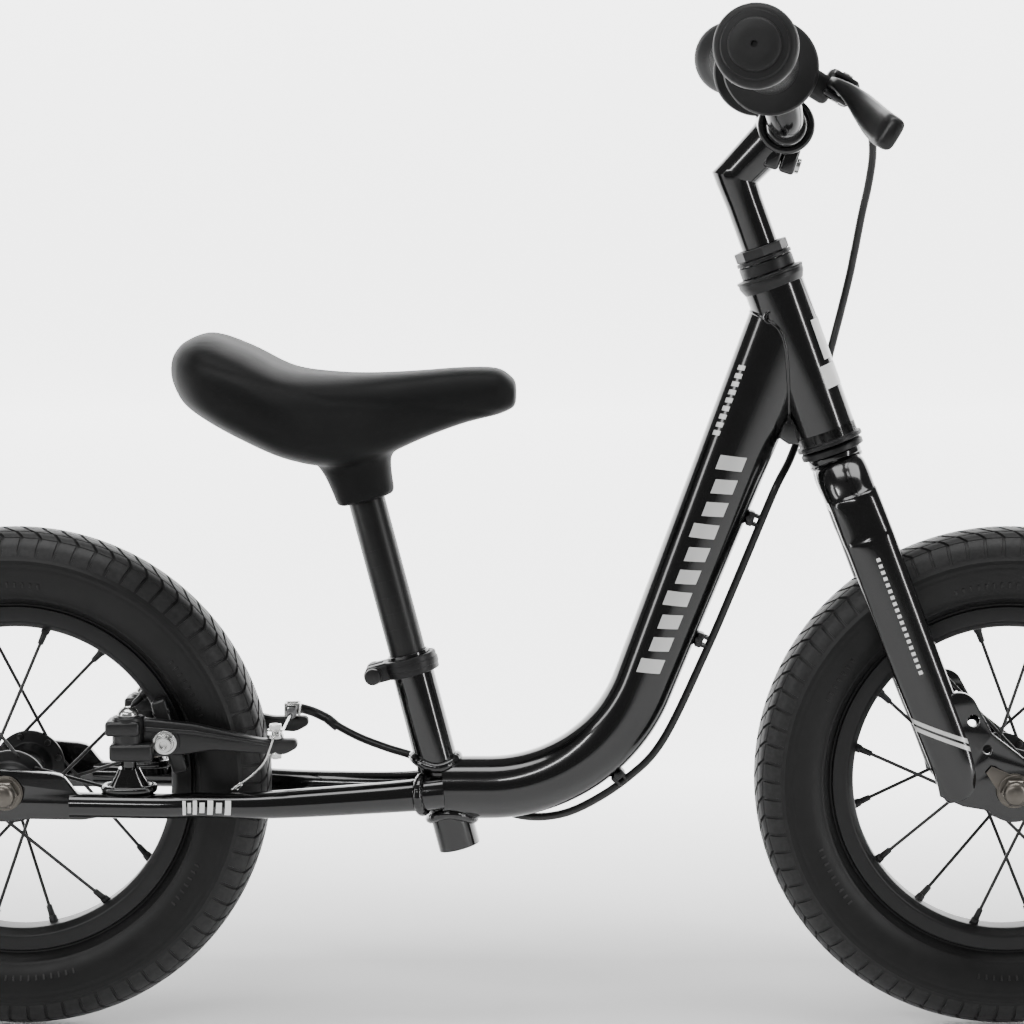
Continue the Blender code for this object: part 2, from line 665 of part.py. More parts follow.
def make_tyre(name, axle):
    """A tyre casing, open towards the rim where the inner tube lies."""
    facet = 1 / math.cos(math.pi / WHEEL_FACETS)
    crown = TYRE_DIAMETER / 2 * facet
    bead = BEAD_SEAT_DIAMETER / 2 + GAP
    half = TYRE_WIDTH / 2
    inside = RIM_WIDTH / 2 - 3.0
    belly = bead + (crown - bead) * 0.56
    profile = [(crown, TYRE_TREAD_FLAT), (crown, -TYRE_TREAD_FLAT), (crown - 5.0, -half * 0.72),
               (belly, -half), (RIM_OUTER + 1.5, -inside - 1.0), (bead, -inside)]
    hollow = half - TYRE_WALL
    inner = [(bead, -inside + 3.0), (belly, -hollow), (crown - 9.0, -hollow * 0.6)]
    profile += inner + [(radius, -height) for radius, height in reversed(inner)]
    profile += [(bead, inside), (RIM_OUTER + 1.5, inside + 1.0), (belly, half), (crown - 5.0, half * 0.72)]
    tyre = turned(name, profile, axle, SIDEWAYS, TYRE_RUBBER, steps=WHEEL_FACETS)
    level_facet(tyre)


def level_facet(item):
    """Turn a wheel piece so that one of its facets lies flat on the ground."""
    item.rotation_euler.rotate_axis("Z", math.pi / WHEEL_FACETS)


def make_rim(name, axle):
    half = RIM_WIDTH / 2
    bead = BEAD_SEAT_DIAMETER / 2
    profile = [(RIM_OUTER, -half + 1.6), (RIM_OUTER, -half), (RIM_INNER + 4.0, -half),
               (RIM_INNER, -half + 5.0), (RIM_INNER, half - 5.0), (RIM_INNER + 4.0, half),
               (RIM_OUTER, half), (RIM_OUTER, half - 1.6), (bead, half - 1.8), (bead, -half + 1.8)]
    rim = turned(name, profile, axle, SIDEWAYS, BLACK_ALLOY, steps=WHEEL_FACETS)
    level_facet(rim)


def spoke_ends(axle, index, flange):
    """A spoke's hub end and rim end. Odd spokes leave the other flange, and pairs cross."""
    side = -1.0 if index % 2 else 1.0
    rim_angle = 2 * math.pi * (index + 0.5) / SPOKE_COUNT
    lead = 1.0 if (index // 2) % 2 else -1.0
    hub_angle = rim_angle + lead * math.radians(SPOKE_SWEEP)
    hub_radius = HUB_FLANGE_DIAMETER / 2 - 3.0
    rim_radius = RIM_INNER * math.cos(math.pi / WHEEL_FACETS) - 1.0
    hub_end = axle + Vector((hub_radius * math.cos(hub_angle), side * flange, hub_radius * math.sin(hub_angle)))
    rim_end = axle + Vector((rim_radius * math.cos(rim_angle), side * 2.5, rim_radius * math.sin(rim_angle)))
    return hub_end, rim_end


def make_hub(name, axle, width):
    """A hub shell with its spokes, bored for the axle."""
    flange = width / 2 - FLANGE_INSET
    outer, barrel, end = HUB_FLANGE_DIAMETER / 2, HUB_BARREL_DIAMETER / 2, width / 2 - 2.0
    bore = AXLE_DIAMETER / 2 + PIVOT_GAP
    half = [(barrel - 4, end), (barrel, flange + 6), (barrel + 2, flange + 1.6), (outer, flange + 1.6),
            (outer, flange - 1.6), (barrel + 1, flange - 1.6), (barrel - 3, flange - 8)]
    profile = half + [(radius, -height) for radius, height in reversed(half)]
    profile += [(bore, -end), (bore, end)]
    hub = turned(name, profile, axle, SIDEWAYS, BLACK_ALLOY, steps=18)
    for index in range(SPOKE_COUNT):
        hub_end, rim_end = spoke_ends(axle, index, flange)
        unite(hub, rod(f"{name}_spoke_{index}", hub_end, rim_end, SPOKE_DIAMETER, segments=5))


def make_axle(name, axle, width, reach):
    """A threaded axle with a cone at each side that the hub runs between."""
    shaft = rod(name, axle - reach * SIDEWAYS, axle + reach * SIDEWAYS, AXLE_DIAMETER, DARK_STEEL, segments=16)
    for side in SIDES.values():
        cone = rod(f"{name}_cone_{side}", axle + side * (width / 2 - 2.0 + GAP) * SIDEWAYS,
                   axle + side * (width / 2) * SIDEWAYS, 17.0, segments=16)
        unite(shaft, cone)


def make_axle_nut(name, axle, side, face, length):
    """A domed nut on the axle, with its flange against the dropout."""
    bore = AXLE_DIAMETER / 2 + GAP
    deep = length - 4.0
    profile = [(0.0, length), (5.0, length - 0.8), (8.6, length - 6.0), (9.0, 3.0), (11.5, 2.6), (11.5, 0.0),
               (bore, 0.0), (bore, deep), (0.0, deep)]
    turned(name, profile, axle + side * face * SIDEWAYS, side * SIDEWAYS, DARK_STEEL, closed=False, steps=16)


# Fork.


def blade_rings(side, extra=0.0):
    """Sections of a fork blade, from the crown outwards and down to the dropout."""
    top = CROWN_TOP - 4.0
    shoulder = AXLE_HEIGHT + 34.0
    stations = [(top, 0.0, 10.0, 13.5, 10.0), (top - 10, 0.0, 15.0, 14.5, 11.5),
                (top - 20, 0.3, 23.5, 15.0, 11.5), ((top + shoulder) / 2 - 6, 0.8, 32.0, 15.3, 9.6),
                (shoulder - 12, 1.2, 37.5, 15.3, 8.4), (shoulder - 26, 1.6, BLADE_SPREAD, 15.0, 8.0),
                (AXLE_HEIGHT * 0.6, 2.6, BLADE_SPREAD, 15.0, 8.0), (38.5, 4.0, BLADE_SPREAD, 14.4, 7.8),
                (12.0, 3.0, BLADE_SPREAD, 12.5, 7.2), (5.0, 1.0, BLADE_SPREAD, 8.0, 5.0)]
    rings = []
    for along, ahead, spread, deep, wide in stations:
        middle = on_steering(along, ahead, side * spread)
        rings.append([middle + STEER_AHEAD * (deep + extra) * math.cos(a) + SIDEWAYS * (wide + extra) * math.sin(a)
                      for a in [2 * math.pi * k / 16 for k in range(16)]])
    return rings


def make_steerer():
    """The steerer tube, with the crown ring at its foot."""
    bore = QUILL_DIAMETER + 2 * SLIDE_GAP
    profile = [(STEERER_DIAMETER / 2, LOCKNUT_TOP - 1), (STEERER_DIAMETER / 2, CROWN_TOP - GAP),
               (STEERER_DIAMETER / 2 + 3.5, CROWN_TOP - GAP), (STEERER_DIAMETER / 2 + 4.5, CROWN_TOP - 3),
               (STEERER_DIAMETER / 2 + 4.5, CROWN_TOP - 22), (STEERER_DIAMETER / 2 + 1.0, CROWN_TOP - 34),
               (bore / 2, CROWN_TOP - 34), (bore / 2, LOCKNUT_TOP - 1)]
    turned("fork_steerer", profile, on_steering(0), STEER_UP, BLACK_PAINT)


def crown_void(name):
    """Room round the crown ring, that the blades are coped to."""
    wide = STEERER_DIAMETER + 2 * 4.5 + 2 * GAP
    return rod(name, on_steering(CROWN_TOP - 34 - GAP), on_steering(CROWN_TOP + 10), wide)


def make_blade(name, side):
    blade = loft(name, blade_rings(side), BLACK_PAINT)
    middle = block(name + "_middle_room", on_steering(CROWN_TOP, 0, -side * 40), (200, 80 + 2 * GAP, 300))
    cut(blade, crown_void(name + "_crown_room"), middle)


def fork_plate_outline():
    """The dropout plate: a long triangle with a rounded top and a round end about the axle."""
    x, z = FRONT_AXLE.x, FRONT_AXLE.z
    outline = [(x - 52, z + 34), (x - 46, z + 52)]
    outline += arc(x - 33.5, z + 47, 12.0, 110, 38, 6)
    outline += [(x - 13, z + 34)]
    outline += arc(x, z, 19.5, 38, -140, 16)
    outline += [(x - 30, z - 10), (x - 44, z - 4)]
    return outline


def make_fork_plate(name, side):
    x, z = FRONT_AXLE.x, FRONT_AXLE.z
    holes = [circle(x, z, AXLE_DIAMETER / 2 + GAP), circle(x - 24.5, z + 42, 3.6, 16),
             circle(x - 16, z + 24.5, 2.7, 14), circle(x - 12, z + 12.5, 2.4, 14)]
    item = plate(name, [fork_plate_outline()] + holes, FORK_PLATE_THICKNESS, side * FORK_PLATE_SPREAD, BLACK_PAINT)
    cut(item, loft(name + "_blade_room", blade_rings(side, GAP)))


def make_headset():
    """The fork's own bearing pieces: crown race below, adjusting race and locknut above."""
    inner = STEERER_DIAMETER + 2 * GAP
    race = [(CUP_DIAMETER / 2 - 3.0, RACE_HEIGHT - GAP), (CUP_DIAMETER / 2 - 1.0, RACE_HEIGHT - 2.0),
            (CUP_DIAMETER / 2 - 1.0, 0.0), (inner / 2, 0.0), (inner / 2, RACE_HEIGHT - GAP)]
    turned("crown_race", race, on_steering(CROWN_TOP), STEER_UP, BLACK_ALLOY)
    ring = [(inner / 2 + 3.5, RACE_HEIGHT + 2), (CUP_DIAMETER / 2 - 3.5, RACE_HEIGHT), (CUP_DIAMETER / 2 - 3.5, 0.0),
            (inner / 2, 0.0), (inner / 2, RACE_HEIGHT + 2)]
    turned("adjusting_race", ring, on_steering(UPPER_CUP_TOP + GAP), STEER_UP, BLACK_ALLOY)
    low = LOCKNUT_BASE + GAP
    turned("headset_locknut", ring_profile(inner, 34.0, 0, LOCKNUT_TOP - low), on_steering(low), STEER_UP,
           BLACK_ALLOY, steps=ROUND)


# Stem, handlebar and lever.


def mitred_rings(places, radii, count=18):
    """Rings of a round tube along places, meeting in a mitre at each corner."""
    rings = []
    for i, place in enumerate(places):
        into = (place - places[i - 1]).normalized() if i else (places[1] - places[0]).normalized()
        out = (places[i + 1] - place).normalized() if i + 1 < len(places) else into
        along = (into + out).normalized()
        across = SIDEWAYS
        deep = across.cross(along).normalized()
        stretch = 1 / max(0.5, along.dot(into))
        rings.append([place + across * radii[i] * math.cos(a) + deep * radii[i] * stretch * math.sin(a)
                      for a in [2 * math.pi * k / count for k in range(count)]])
    return rings


def sloped_room(name, along, direction):
    """A block above (1) or below (-1) a 45 degree slope that crosses the steering axis at a height."""
    half = 20.0
    centre = on_steering(along + direction * half / math.cos(math.radians(45)))
    slope = Matrix.Rotation(math.radians(-HEAD_LEAN - 45), 4, "Y")
    return block(name, centre, (80, 80, 2 * half), turn=slope)


def make_stem():
    """The quill stem, with the handlebar clamp, its slit and its two ears."""
    quill = QUILL_DIAMETER / 2
    bottom = STEM_ELBOW - QUILL_LENGTH
    stop = BAR_CENTRE - STEM_DIRECTION * 4
    places = [on_steering(bottom), on_steering(STEM_ELBOW - 16), on_steering(STEM_ELBOW), stop]
    stem = loft("stem", mitred_rings(places, [quill, quill, quill + 1.0, quill + 2.5]), BLACK_PAINT)
    half = STEM_CLAMP_WIDTH / 2
    barrel = rod("stem_barrel", BAR_CENTRE - half * SIDEWAYS, BAR_CENTRE + half * SIDEWAYS, STEM_CLAMP_DIAMETER)
    ear_drop = STEM_CLAMP_DIAMETER / 2 + 5
    ears = block("stem_ears", BAR_CENTRE + Vector((2, 0, -ear_drop)), (15, 22, 16), bevel=1.5)
    bar_room = rod("stem_bar_room", BAR_CENTRE - 40 * SIDEWAYS, BAR_CENTRE + 40 * SIDEWAYS,
                   BAR_CENTRE_DIAMETER + 2 * GAP)
    slit = block("stem_slit", BAR_CENTRE + Vector((2, 0, -ear_drop)), (2.0, 60, 28))
    bolt_z = -ear_drop - 1.5
    hole = rod("stem_bolt_room", BAR_CENTRE + Vector((-20, 0, bolt_z)), BAR_CENTRE + Vector((25, 0, bolt_z)),
               6.0 + 2 * GAP)
    inside = rod("stem_wedge_room", on_steering(bottom - 5), on_steering(STEM_ELBOW - 14), 9.0 + 2 * GAP)
    foot_cut = sloped_room("stem_foot_cut", bottom + QUILL_DIAMETER / 2, -1)
    top_hole = rod("stem_top_hole", on_steering(STEM_ELBOW - 20), on_steering(STEM_ELBOW + 30), 12.0)
    unite(stem, barrel, ears)
    cut(stem, bar_room, slit, hole, inside, foot_cut, top_hole)
    bolt = rod("stem_clamp_bolt", BAR_CENTRE + Vector((-8.0, 0, bolt_z)), BAR_CENTRE + Vector((14.5, 0, bolt_z)), 6.0,
               BLACK_ALLOY)
    head = rod("stem_bolt_head", BAR_CENTRE + Vector((9.5 + GAP, 0, bolt_z)), BAR_CENTRE + Vector((14.5, 0, bolt_z)),
               9.5)
    unite(bolt, head)


def make_expander():
    """The long bolt and the wedge that lock the quill inside the steerer."""
    bottom = STEM_ELBOW - QUILL_LENGTH
    bolt = rod("expander_bolt", on_steering(bottom - 12), on_steering(STEM_ELBOW - 2), 8.0, BLACK_ALLOY)
    head = rod("expander_head", on_steering(STEM_ELBOW - 12), on_steering(STEM_ELBOW - 2), 11.0)
    unite(bolt, head)
    wedge = rod("stem_wedge", on_steering(bottom - 8), on_steering(bottom + 24), QUILL_DIAMETER - 0.4, BLACK_ALLOY)
    above = sloped_room("wedge_cut", bottom + QUILL_DIAMETER / 2 - 2 * GAP, 1)
    centre = rod("wedge_bore", on_steering(bottom - 40), on_steering(bottom + 30), 8.0 + 2 * GAP)
    cut(wedge, above, centre)


def grip_axis(side):
    """The handlebar's end straight: its inner place and its direction outwards."""
    inner = BAR_CENTRE + Vector((-8.6, side * 50.0, BAR_RISE - 0.4))
    end = BAR_CENTRE + Vector((-26.5, side * BAR_HALF_LENGTH, BAR_RISE + 13.0))
    return inner, (end - inner).normalized(), (end - inner).length


def bar_places():
    places = []
    for side in (-1.0, 1.0):
        inner, along, length = grip_axis(side)
        corners = [BAR_CENTRE, BAR_CENTRE + side * 25 * SIDEWAYS, inner, inner + along * length]
        half = rounded(corners, 12.0)
        places.append(half)
    return places[0][::-1] + places[1][1:]


def make_handlebar():
    bar = tube("handlebar", bar_places(), BAR_DIAMETER, BLACK_PAINT, resolution=4)
    half = STEM_CLAMP_WIDTH / 2 + 4
    sleeve = rod("bar_sleeve", BAR_CENTRE - half * SIDEWAYS, BAR_CENTRE + half * SIDEWAYS, BAR_CENTRE_DIAMETER)
    unite(bar, sleeve)


def make_grip(name, side):
    """A rubber grip closed at its end, with an inner flange and a fat safety bulb."""
    inner, along, length = grip_axis(side)
    bore = BAR_DIAMETER / 2 + GAP
    depth = length - GRIP_START + GAP
    end = GRIP_LENGTH + 2
    flange, core, bulb = GRIP_FLANGE_DIAMETER / 2, GRIP_CORE_DIAMETER / 2, GRIP_BULB_DIAMETER / 2
    profile = [(0.0, end), (core, end), (bulb - 4.0, end - 1.5), (bulb, end - 8.0), (bulb - 1.5, end - 15.0),
               (core + 2.0, end - 23.0), (core + 1.4, 50.0), (core, 10.0), (flange - 1.0, 5.5), (flange - 1.0, 0.0),
               (bore, 0.0), (bore, depth), (0.0, depth)]
    turned(name, profile, inner + along * GRIP_START, along, GRIP_RUBBER, closed=False)


def make_lever_bracket():
    """The lever's clamp on the bar, with a forked arm that holds the pivot pin."""
    inner, along, _ = grip_axis(-1.0)
    ring_at = inner + along * 18.7
    width = 12.0
    ring = rod("lever_bracket", ring_at - along * width / 2, ring_at + along * width / 2, BAR_DIAMETER + 9.0,
               BRAKE_PLASTIC)
    room = rod("bracket_bar_room", ring_at - along * 20, ring_at + along * 20, BAR_DIAMETER + 2 * GAP)
    turn = lever_turn()
    ahead = (LEVER_PIVOT - ring_at)
    middle = ring_at + ahead * 0.62 + Vector((0, 4, 0))
    arm = block("bracket_arm", middle, (34, 13, 15), turn=turn, bevel=2.0)
    nose = block("bracket_nose", LEVER_PIVOT + Vector((0, 6, 0)), (17, 24, 16), turn=turn, bevel=2.5)
    mouth = block("bracket_mouth", LEVER_PIVOT + Vector((0, -2, 0)), (44, 23, 8.0 + 2 * PIVOT_GAP), turn=turn)
    pin_room = rod("bracket_pin_room", LEVER_PIVOT - LEVER_AXIS * 12, LEVER_PIVOT + LEVER_AXIS * 12, 4.0 + 2 * GAP)
    screw_at = LEVER_PIVOT + Vector((0, 10, 0))
    adjuster_room = rod("adjuster_room", screw_at, screw_at + 14 * SIDEWAYS, 6.0 + 2 * GAP)
    unite(ring, arm, nose)
    cut(ring, room, mouth, pin_room, adjuster_room)
    rod("lever_pin", LEVER_PIVOT - LEVER_AXIS * 8.6, LEVER_PIVOT + LEVER_AXIS * 8.6, 4.0, BRIGHT_STEEL, segments=16)
    adjuster = rod("barrel_adjuster", screw_at + 1 * SIDEWAYS, screw_at + 16 * SIDEWAYS, 6.0, BRAKE_PLASTIC, segments=14)
    collar = rod("adjuster_collar", screw_at + (8 + GAP) * SIDEWAYS, screw_at + 20 * SIDEWAYS, 9.5, segments=14)
    unite(adjuster, collar)


def lever_turn():
    """Axes of the lever: X towards the bar, Y along it, Z on the pivot's axis."""
    return Matrix((-LEVER_PULL, SIDEWAYS, -LEVER_AXIS)).transposed().to_4x4()


def squared(value):
    """A sine or cosine pushed towards a square."""
    return math.copysign(abs(value) ** LEVER_SQUARENESS, value)


def make_lever():
    """A two finger lever blade that swings towards the grip."""
    outward = -SIDEWAYS
    stations = [(-5.0, 0.0, 0.0, 5.0, 3.6), (3.0, 0.0, 0.0, 8.0, 3.9), (14.0, 2.0, 0.0, 7.5, 3.9),
                (26.0, 9.0, 1.5, 6.4, 5.8), (42.0, 16.0, 5.0, 5.2, 7.8), (62.0, 22.5, 8.5, 4.8, 9.2),
                (80.0, 27.5, 10.5, 5.0, 9.8), (88.0, 30.5, 11.0, 5.2, 9.6), (91.5, 32.0, 11.0, 3.8, 7.4)]
    rings = []
    for out, ahead, drop, thick, tall in stations:
        middle = LEVER_PIVOT + outward * out - LEVER_PULL * ahead + LEVER_AXIS * drop
        ring = []
        for k in range(12):
            a = 2 * math.pi * k / 12
            across, level = squared(math.cos(a)), squared(math.sin(a))
            ring.append(middle + LEVER_PULL * thick * across + LEVER_AXIS * tall * level)
        rings.append(ring)
    lever = loft("brake_lever", rings, BRAKE_PLASTIC)
    bore = rod("lever_bore", LEVER_PIVOT - LEVER_AXIS * 12, LEVER_PIVOT + LEVER_AXIS * 12, 4.0 + 2 * PIVOT_GAP)
    cut(lever, bore)


# Saddle.


def saddle_stations():
    """Across the saddle from tail to nose: place, top, underside, half width, all from its neck's foot."""
    rear, nose = SADDLE_REAR_WIDTH / 2, SADDLE_NOSE_WIDTH / 2
    return [(-113.0, 90.0, 72.0, rear * 0.50), (-106.0, 97.0, 60.0, rear * 0.74), (-92.0, 100.2, 50.0, rear * 0.94),
            (-70.0, 92.5, 38.0, rear * 1.0), (-45.0, 80.5, 27.0, rear * 0.95), (-18.0, 77.0, 22.0, rear * 0.74),
            (8.0, 76.8, 27.0, rear * 0.52), (35.0, 78.4, 38.5, nose * 1.15), (60.0, 80.2, 47.5, nose * 1.0),
            (80.0, 79.5, 52.5, nose * 0.92), (90.5, 72.0, 57.0, nose * 0.62)]


def saddle_ring(x, top, low, half):
    """A saddle section: crowned on top, rounded shoulders, sides tucked in underneath."""
    crown = top - low
    shape = [(0.0, 1.0), (0.45, 0.99), (0.82, 0.88), (1.0, 0.62), (0.97, 0.34), (0.78, 0.12), (0.4, 0.0)]
    places = [(share * half, low + crown * level) for share, level in shape]
    ring = places + [(-side, height) for side, height in reversed(places[1:])]
    return [SADDLE_BASE + Vector((x, side, height)) for side, height in ring]


def make_saddle():
    """The saddle's soft top and its moulded neck, one piece, with a socket for the post."""
    body = loft("saddle", [saddle_ring(*station) for station in saddle_stations()], SADDLE_SKIN, 60)
    neck = rod("saddle_neck", SADDLE_BASE + SEAT_UP * 0, SADDLE_BASE + SEAT_UP * 52, SADDLE_NECK_DIAMETER,
               end_diameter=SADDLE_NECK_DIAMETER + 26)
    socket = rod("saddle_socket", SADDLE_BASE - SEAT_UP * 5, SADDLE_BASE + SEAT_UP * SADDLE_SOCKET_DEPTH,
                 SEATPOST_DIAMETER + 2 * GAP)
    unite(body, neck)
    cut(body, socket)


def make_seatpost():
    top = SADDLE_HEIGHT + SADDLE_SOCKET_DEPTH - GAP
    rod("seatpost", on_seat_tube(top - SEATPOST_LENGTH), on_seat_tube(top), SEATPOST_DIAMETER, BLACK_PAINT)


# Brake.


def make_brake_arm(name, side):
    """A long arm on a vertical pivot, with a hole for the pad's stud."""
    x, z = BRAKE_PIVOT_X, BRAKE_LEVEL
    outline = [(x - 7, z + 3.5), (x - 7, z + 15), (x + 8, z + 15.5), (x + 40, z + 11),
               (ARM_END_X - 22, ARM_END_TOP), (ARM_END_X - 1, ARM_END_TOP), (ARM_END_X, z - 3.5),
               (ARM_END_X - 8, z - 8), (x + 50, z - 5), (x + 32, z - 8), (x + 12, z - 9), (x + 9, z - 2)]
    middle = side * (ARM_INNER_FACE + ARM_THICKNESS / 2)
    arm = plate(name, [outline], ARM_THICKNESS, middle, BRAKE_PLASTIC)
    pivot = Vector((x, side * PIVOT_SPREAD, 0))
    barrel = rod(name + "_barrel", pivot + (z - 9.5) * UP, pivot + (z + 16) * UP, 19.0)
    bore = rod(name + "_bore", pivot + (z - 20) * UP, pivot + (z + 30) * UP, 9.0 + 2 * PIVOT_GAP)
    stud_room = rod(name + "_stud_room", pad_stud(0), pad_stud(side * 80), 6.0 + 2 * GAP, segments=16)
    unite(arm, barrel)
    cut(arm, bore, stud_room)
    if side < 0:
        seat = Vector((WIRE_X - 3.6, middle, 0))
        cut(arm, rod(name + "_anchor_room", seat + (z - 20) * UP, seat + (z + 20) * UP, 4.5 + 2 * GAP, segments=16))


def pad_stud(across):
    return Vector((REAR_AXLE.x + PAD_STUD_AHEAD, across, BRAKE_LEVEL))


def make_brake_pad(name, side):
    """A rubber pad beside the rim, with the threaded stud that holds it to its arm."""
    lean = math.atan2(BRAKE_LEVEL - AXLE_HEIGHT, PAD_STUD_AHEAD)
    face = RIM_WIDTH / 2 + PAD_GAP
    middle = pad_stud(side * (face + PAD_THICKNESS / 2))
    turn = Matrix.Rotation(-lean, 4, "Y")
    pad = block(name, middle, (PAD_HEIGHT, PAD_THICKNESS, PAD_LENGTH), BRAKE_PLASTIC, turn, bevel=1.2)
    outside = side * (ARM_INNER_FACE + ARM_THICKNESS)
    stud = rod(name + "_stud", middle, pad_stud(outside + side * 9), 6.0, segments=16)
    spacer = rod(name + "_spacer", middle, pad_stud(side * (ARM_INNER_FACE - GAP)), 13.0, segments=14)
    unite(pad, stud, spacer)


def make_pivot_bolt(name, side):
    """A domed bolt that keeps the arm on its post."""
    top = Vector((BRAKE_PIVOT_X, side * PIVOT_SPREAD, BRAKE_LEVEL + 16 + GAP))
    profile = [(0.0, 4.6), (3.4, 4.0), (5.6, 2.4), (6.4, 0.6), (6.4, 0.0), (2.5, 0.0), (2.5, -12.0), (0.0, -12.0)]
    turned(name, profile, top, UP, BRIGHT_STEEL, closed=False, steps=14)


def make_wire_fittings():
    """The clamp bolt on the right arm, the wire, and the left arm's link and bent guide pipe."""
    wire_y = ARM_INNER_FACE + ARM_THICKNESS / 2
    seat = Vector((WIRE_X - 3.6, -wire_y, 0))
    bike.use_body("brake_arm_right")
    bolt = rod("anchor_bolt", seat + (BRAKE_LEVEL - 11) * UP, seat + (WIRE_Z + 5) * UP, 4.5, BRIGHT_STEEL, segments=16)
    head = rod("anchor_head", seat + (WIRE_Z + WIRE_DIAMETER / 2 + GAP) * UP, seat + (WIRE_Z + 5) * UP, 10.0,
               segments=14)
    unite(bolt, head)
    bike.use_body("brake_wire_body")
    wire = [Vector((WIRE_X, -wire_y - 5, WIRE_Z)), Vector((WIRE_X, 0, WIRE_Z)),
            Vector((WIRE_X, ARM_INNER_FACE - 5, WIRE_Z))]
    tube("brake_wire", wire, WIRE_DIAMETER, BRIGHT_STEEL, resolution=2)
    bike.use_body("brake_arm_left")
    make_noodle()


def make_noodle():
    start = Vector((WIRE_X, 0, WIRE_Z))
    route = [start + Vector(place) for place in NOODLE_ROUTE]
    pipe = tube("noodle", smooth_route(route, 4.0), NOODLE_DIAMETER, BRIGHT_STEEL, resolution=2)
    cut(pipe, rod("noodle_bore", start + 20 * SIDEWAYS, start + 41.5 * SIDEWAYS, NOODLE_BORE, segments=16))
    middle = start + (ARM_INNER_FACE + ARM_THICKNESS / 2) * SIDEWAYS
    link = block("noodle_link", middle + Vector((0, -1.5, 1.2)), (10, 9, 8.5), BRIGHT_STEEL, bevel=1.0)
    room = rod("link_bore", start + 20 * SIDEWAYS, start + 50 * SIDEWAYS, NOODLE_DIAMETER + 2 * GAP, segments=14)
    level = block("link_floor", Vector((middle.x, middle.y, ARM_END_TOP + GAP - 10)), (40, 20, 20))
    cut(link, room, level)


def housing_places(route):
    return smooth_route([Vector(place) for place in route], HOUSING_STEP)


def make_housing(name, route):
    tube(name, housing_places(route), HOUSING_DIAMETER, HOUSING_SKIN, resolution=2)


def add_bodies():
    bike.add_body("frame", Vector((0, 0, 0)))
    bike.add_body("fork", on_steering(0), "frame")
    bike.add_body("bar", on_steering(STEM_ELBOW), "fork")
    bike.add_body("lever", LEVER_PIVOT, "bar")
    bike.add_body("seat", on_seat_tube(SADDLE_HEIGHT), "frame")
    bike.add_body("front_wheel", FRONT_AXLE, "fork")
    bike.add_body("rear_wheel", REAR_AXLE, "frame")
    for word, side in SIDES.items():
        bike.add_body(f"brake_arm_{word}", Vector((BRAKE_PIVOT_X, side * PIVOT_SPREAD, BRAKE_LEVEL)), "frame")
    anchor = Vector((WIRE_X, -ARM_INNER_FACE - ARM_THICKNESS / 2, WIRE_Z))
    bike.add_body("brake_wire_body", anchor, "brake_arm_right")


def make_frame():
    bike.use_body("frame")
    make_head_tube()
    make_seat_tube()
    make_seat_clamp()
    places, sizes = make_main_tube()
    make_cable_clips(places, sizes)
    rear_reach = REAR_HUB_WIDTH / 2 + DROPOUT_THICKNESS + 2 * GAP
    make_axle("rear_axle", REAR_AXLE, REAR_HUB_WIDTH, rear_reach + 8)
    for word, side in SIDES.items():
        make_stay(f"stay_{word}", side)
        make_brake_boss(f"brake_boss_{word}", side)
        make_pivot_bolt(f"pivot_bolt_{word}", side)
        make_axle_nut(f"rear_nut_{word}", REAR_AXLE, side, rear_reach, 14.0)
    make_housing("housing_lower", LOWER_ROUTE)


def make_fork():
    bike.use_body("fork")
    make_steerer()
    make_headset()
    front_reach = FORK_PLATE_SPREAD + FORK_PLATE_THICKNESS / 2 + GAP
    make_axle("front_axle", FRONT_AXLE, FRONT_HUB_WIDTH, front_reach + 8)
    for word, side in SIDES.items():
        make_blade(f"fork_blade_{word}", side)
        make_fork_plate(f"fork_dropout_{word}", side)
        make_axle_nut(f"front_nut_{word}", FRONT_AXLE, side, front_reach, 13.5)
    make_housing("housing_upper", UPPER_ROUTE)


def make_bar():
    bike.use_body("bar")
    make_stem()
    make_expander()
    make_handlebar()
    for word, side in SIDES.items():
        make_grip(f"grip_{word}", side)
    make_lever_bracket()
    bike.use_body("lever")
    make_lever()


def make_wheels():
    for word, axle, width in (("front", FRONT_AXLE, FRONT_HUB_WIDTH), ("rear", REAR_AXLE, REAR_HUB_WIDTH)):
        bike.use_body(f"{word}_wheel")
        make_tyre(f"{word}_tyre", axle)
        make_rim(f"{word}_rim", axle)
        make_hub(f"{word}_hub", axle, width)


def make_brake():
    for word, side in SIDES.items():
        bike.use_body(f"brake_arm_{word}")
        make_brake_arm(f"brake_arm_{word}", side)
        make_brake_pad(f"brake_pad_{word}", side)
    make_wire_fittings()


def main():
    global bike
    clear_scene()
    bike = Bike()
    add_bodies()
    make_frame()
    bike.use_body("seat")
    make_saddle()
    make_seatpost()
    make_fork()
    make_bar()
    make_wheels()
    make_brake()


main()
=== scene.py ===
"""Looks for a child's balance bike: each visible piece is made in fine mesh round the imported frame.

Lengths inside the makers are millimetres, scaled to metres where a mesh is closed.
+X is forward, +Z up and -Y the rider's right.
"""
import json
import math

import bmesh
import bpy
from mathutils import Matrix, Vector


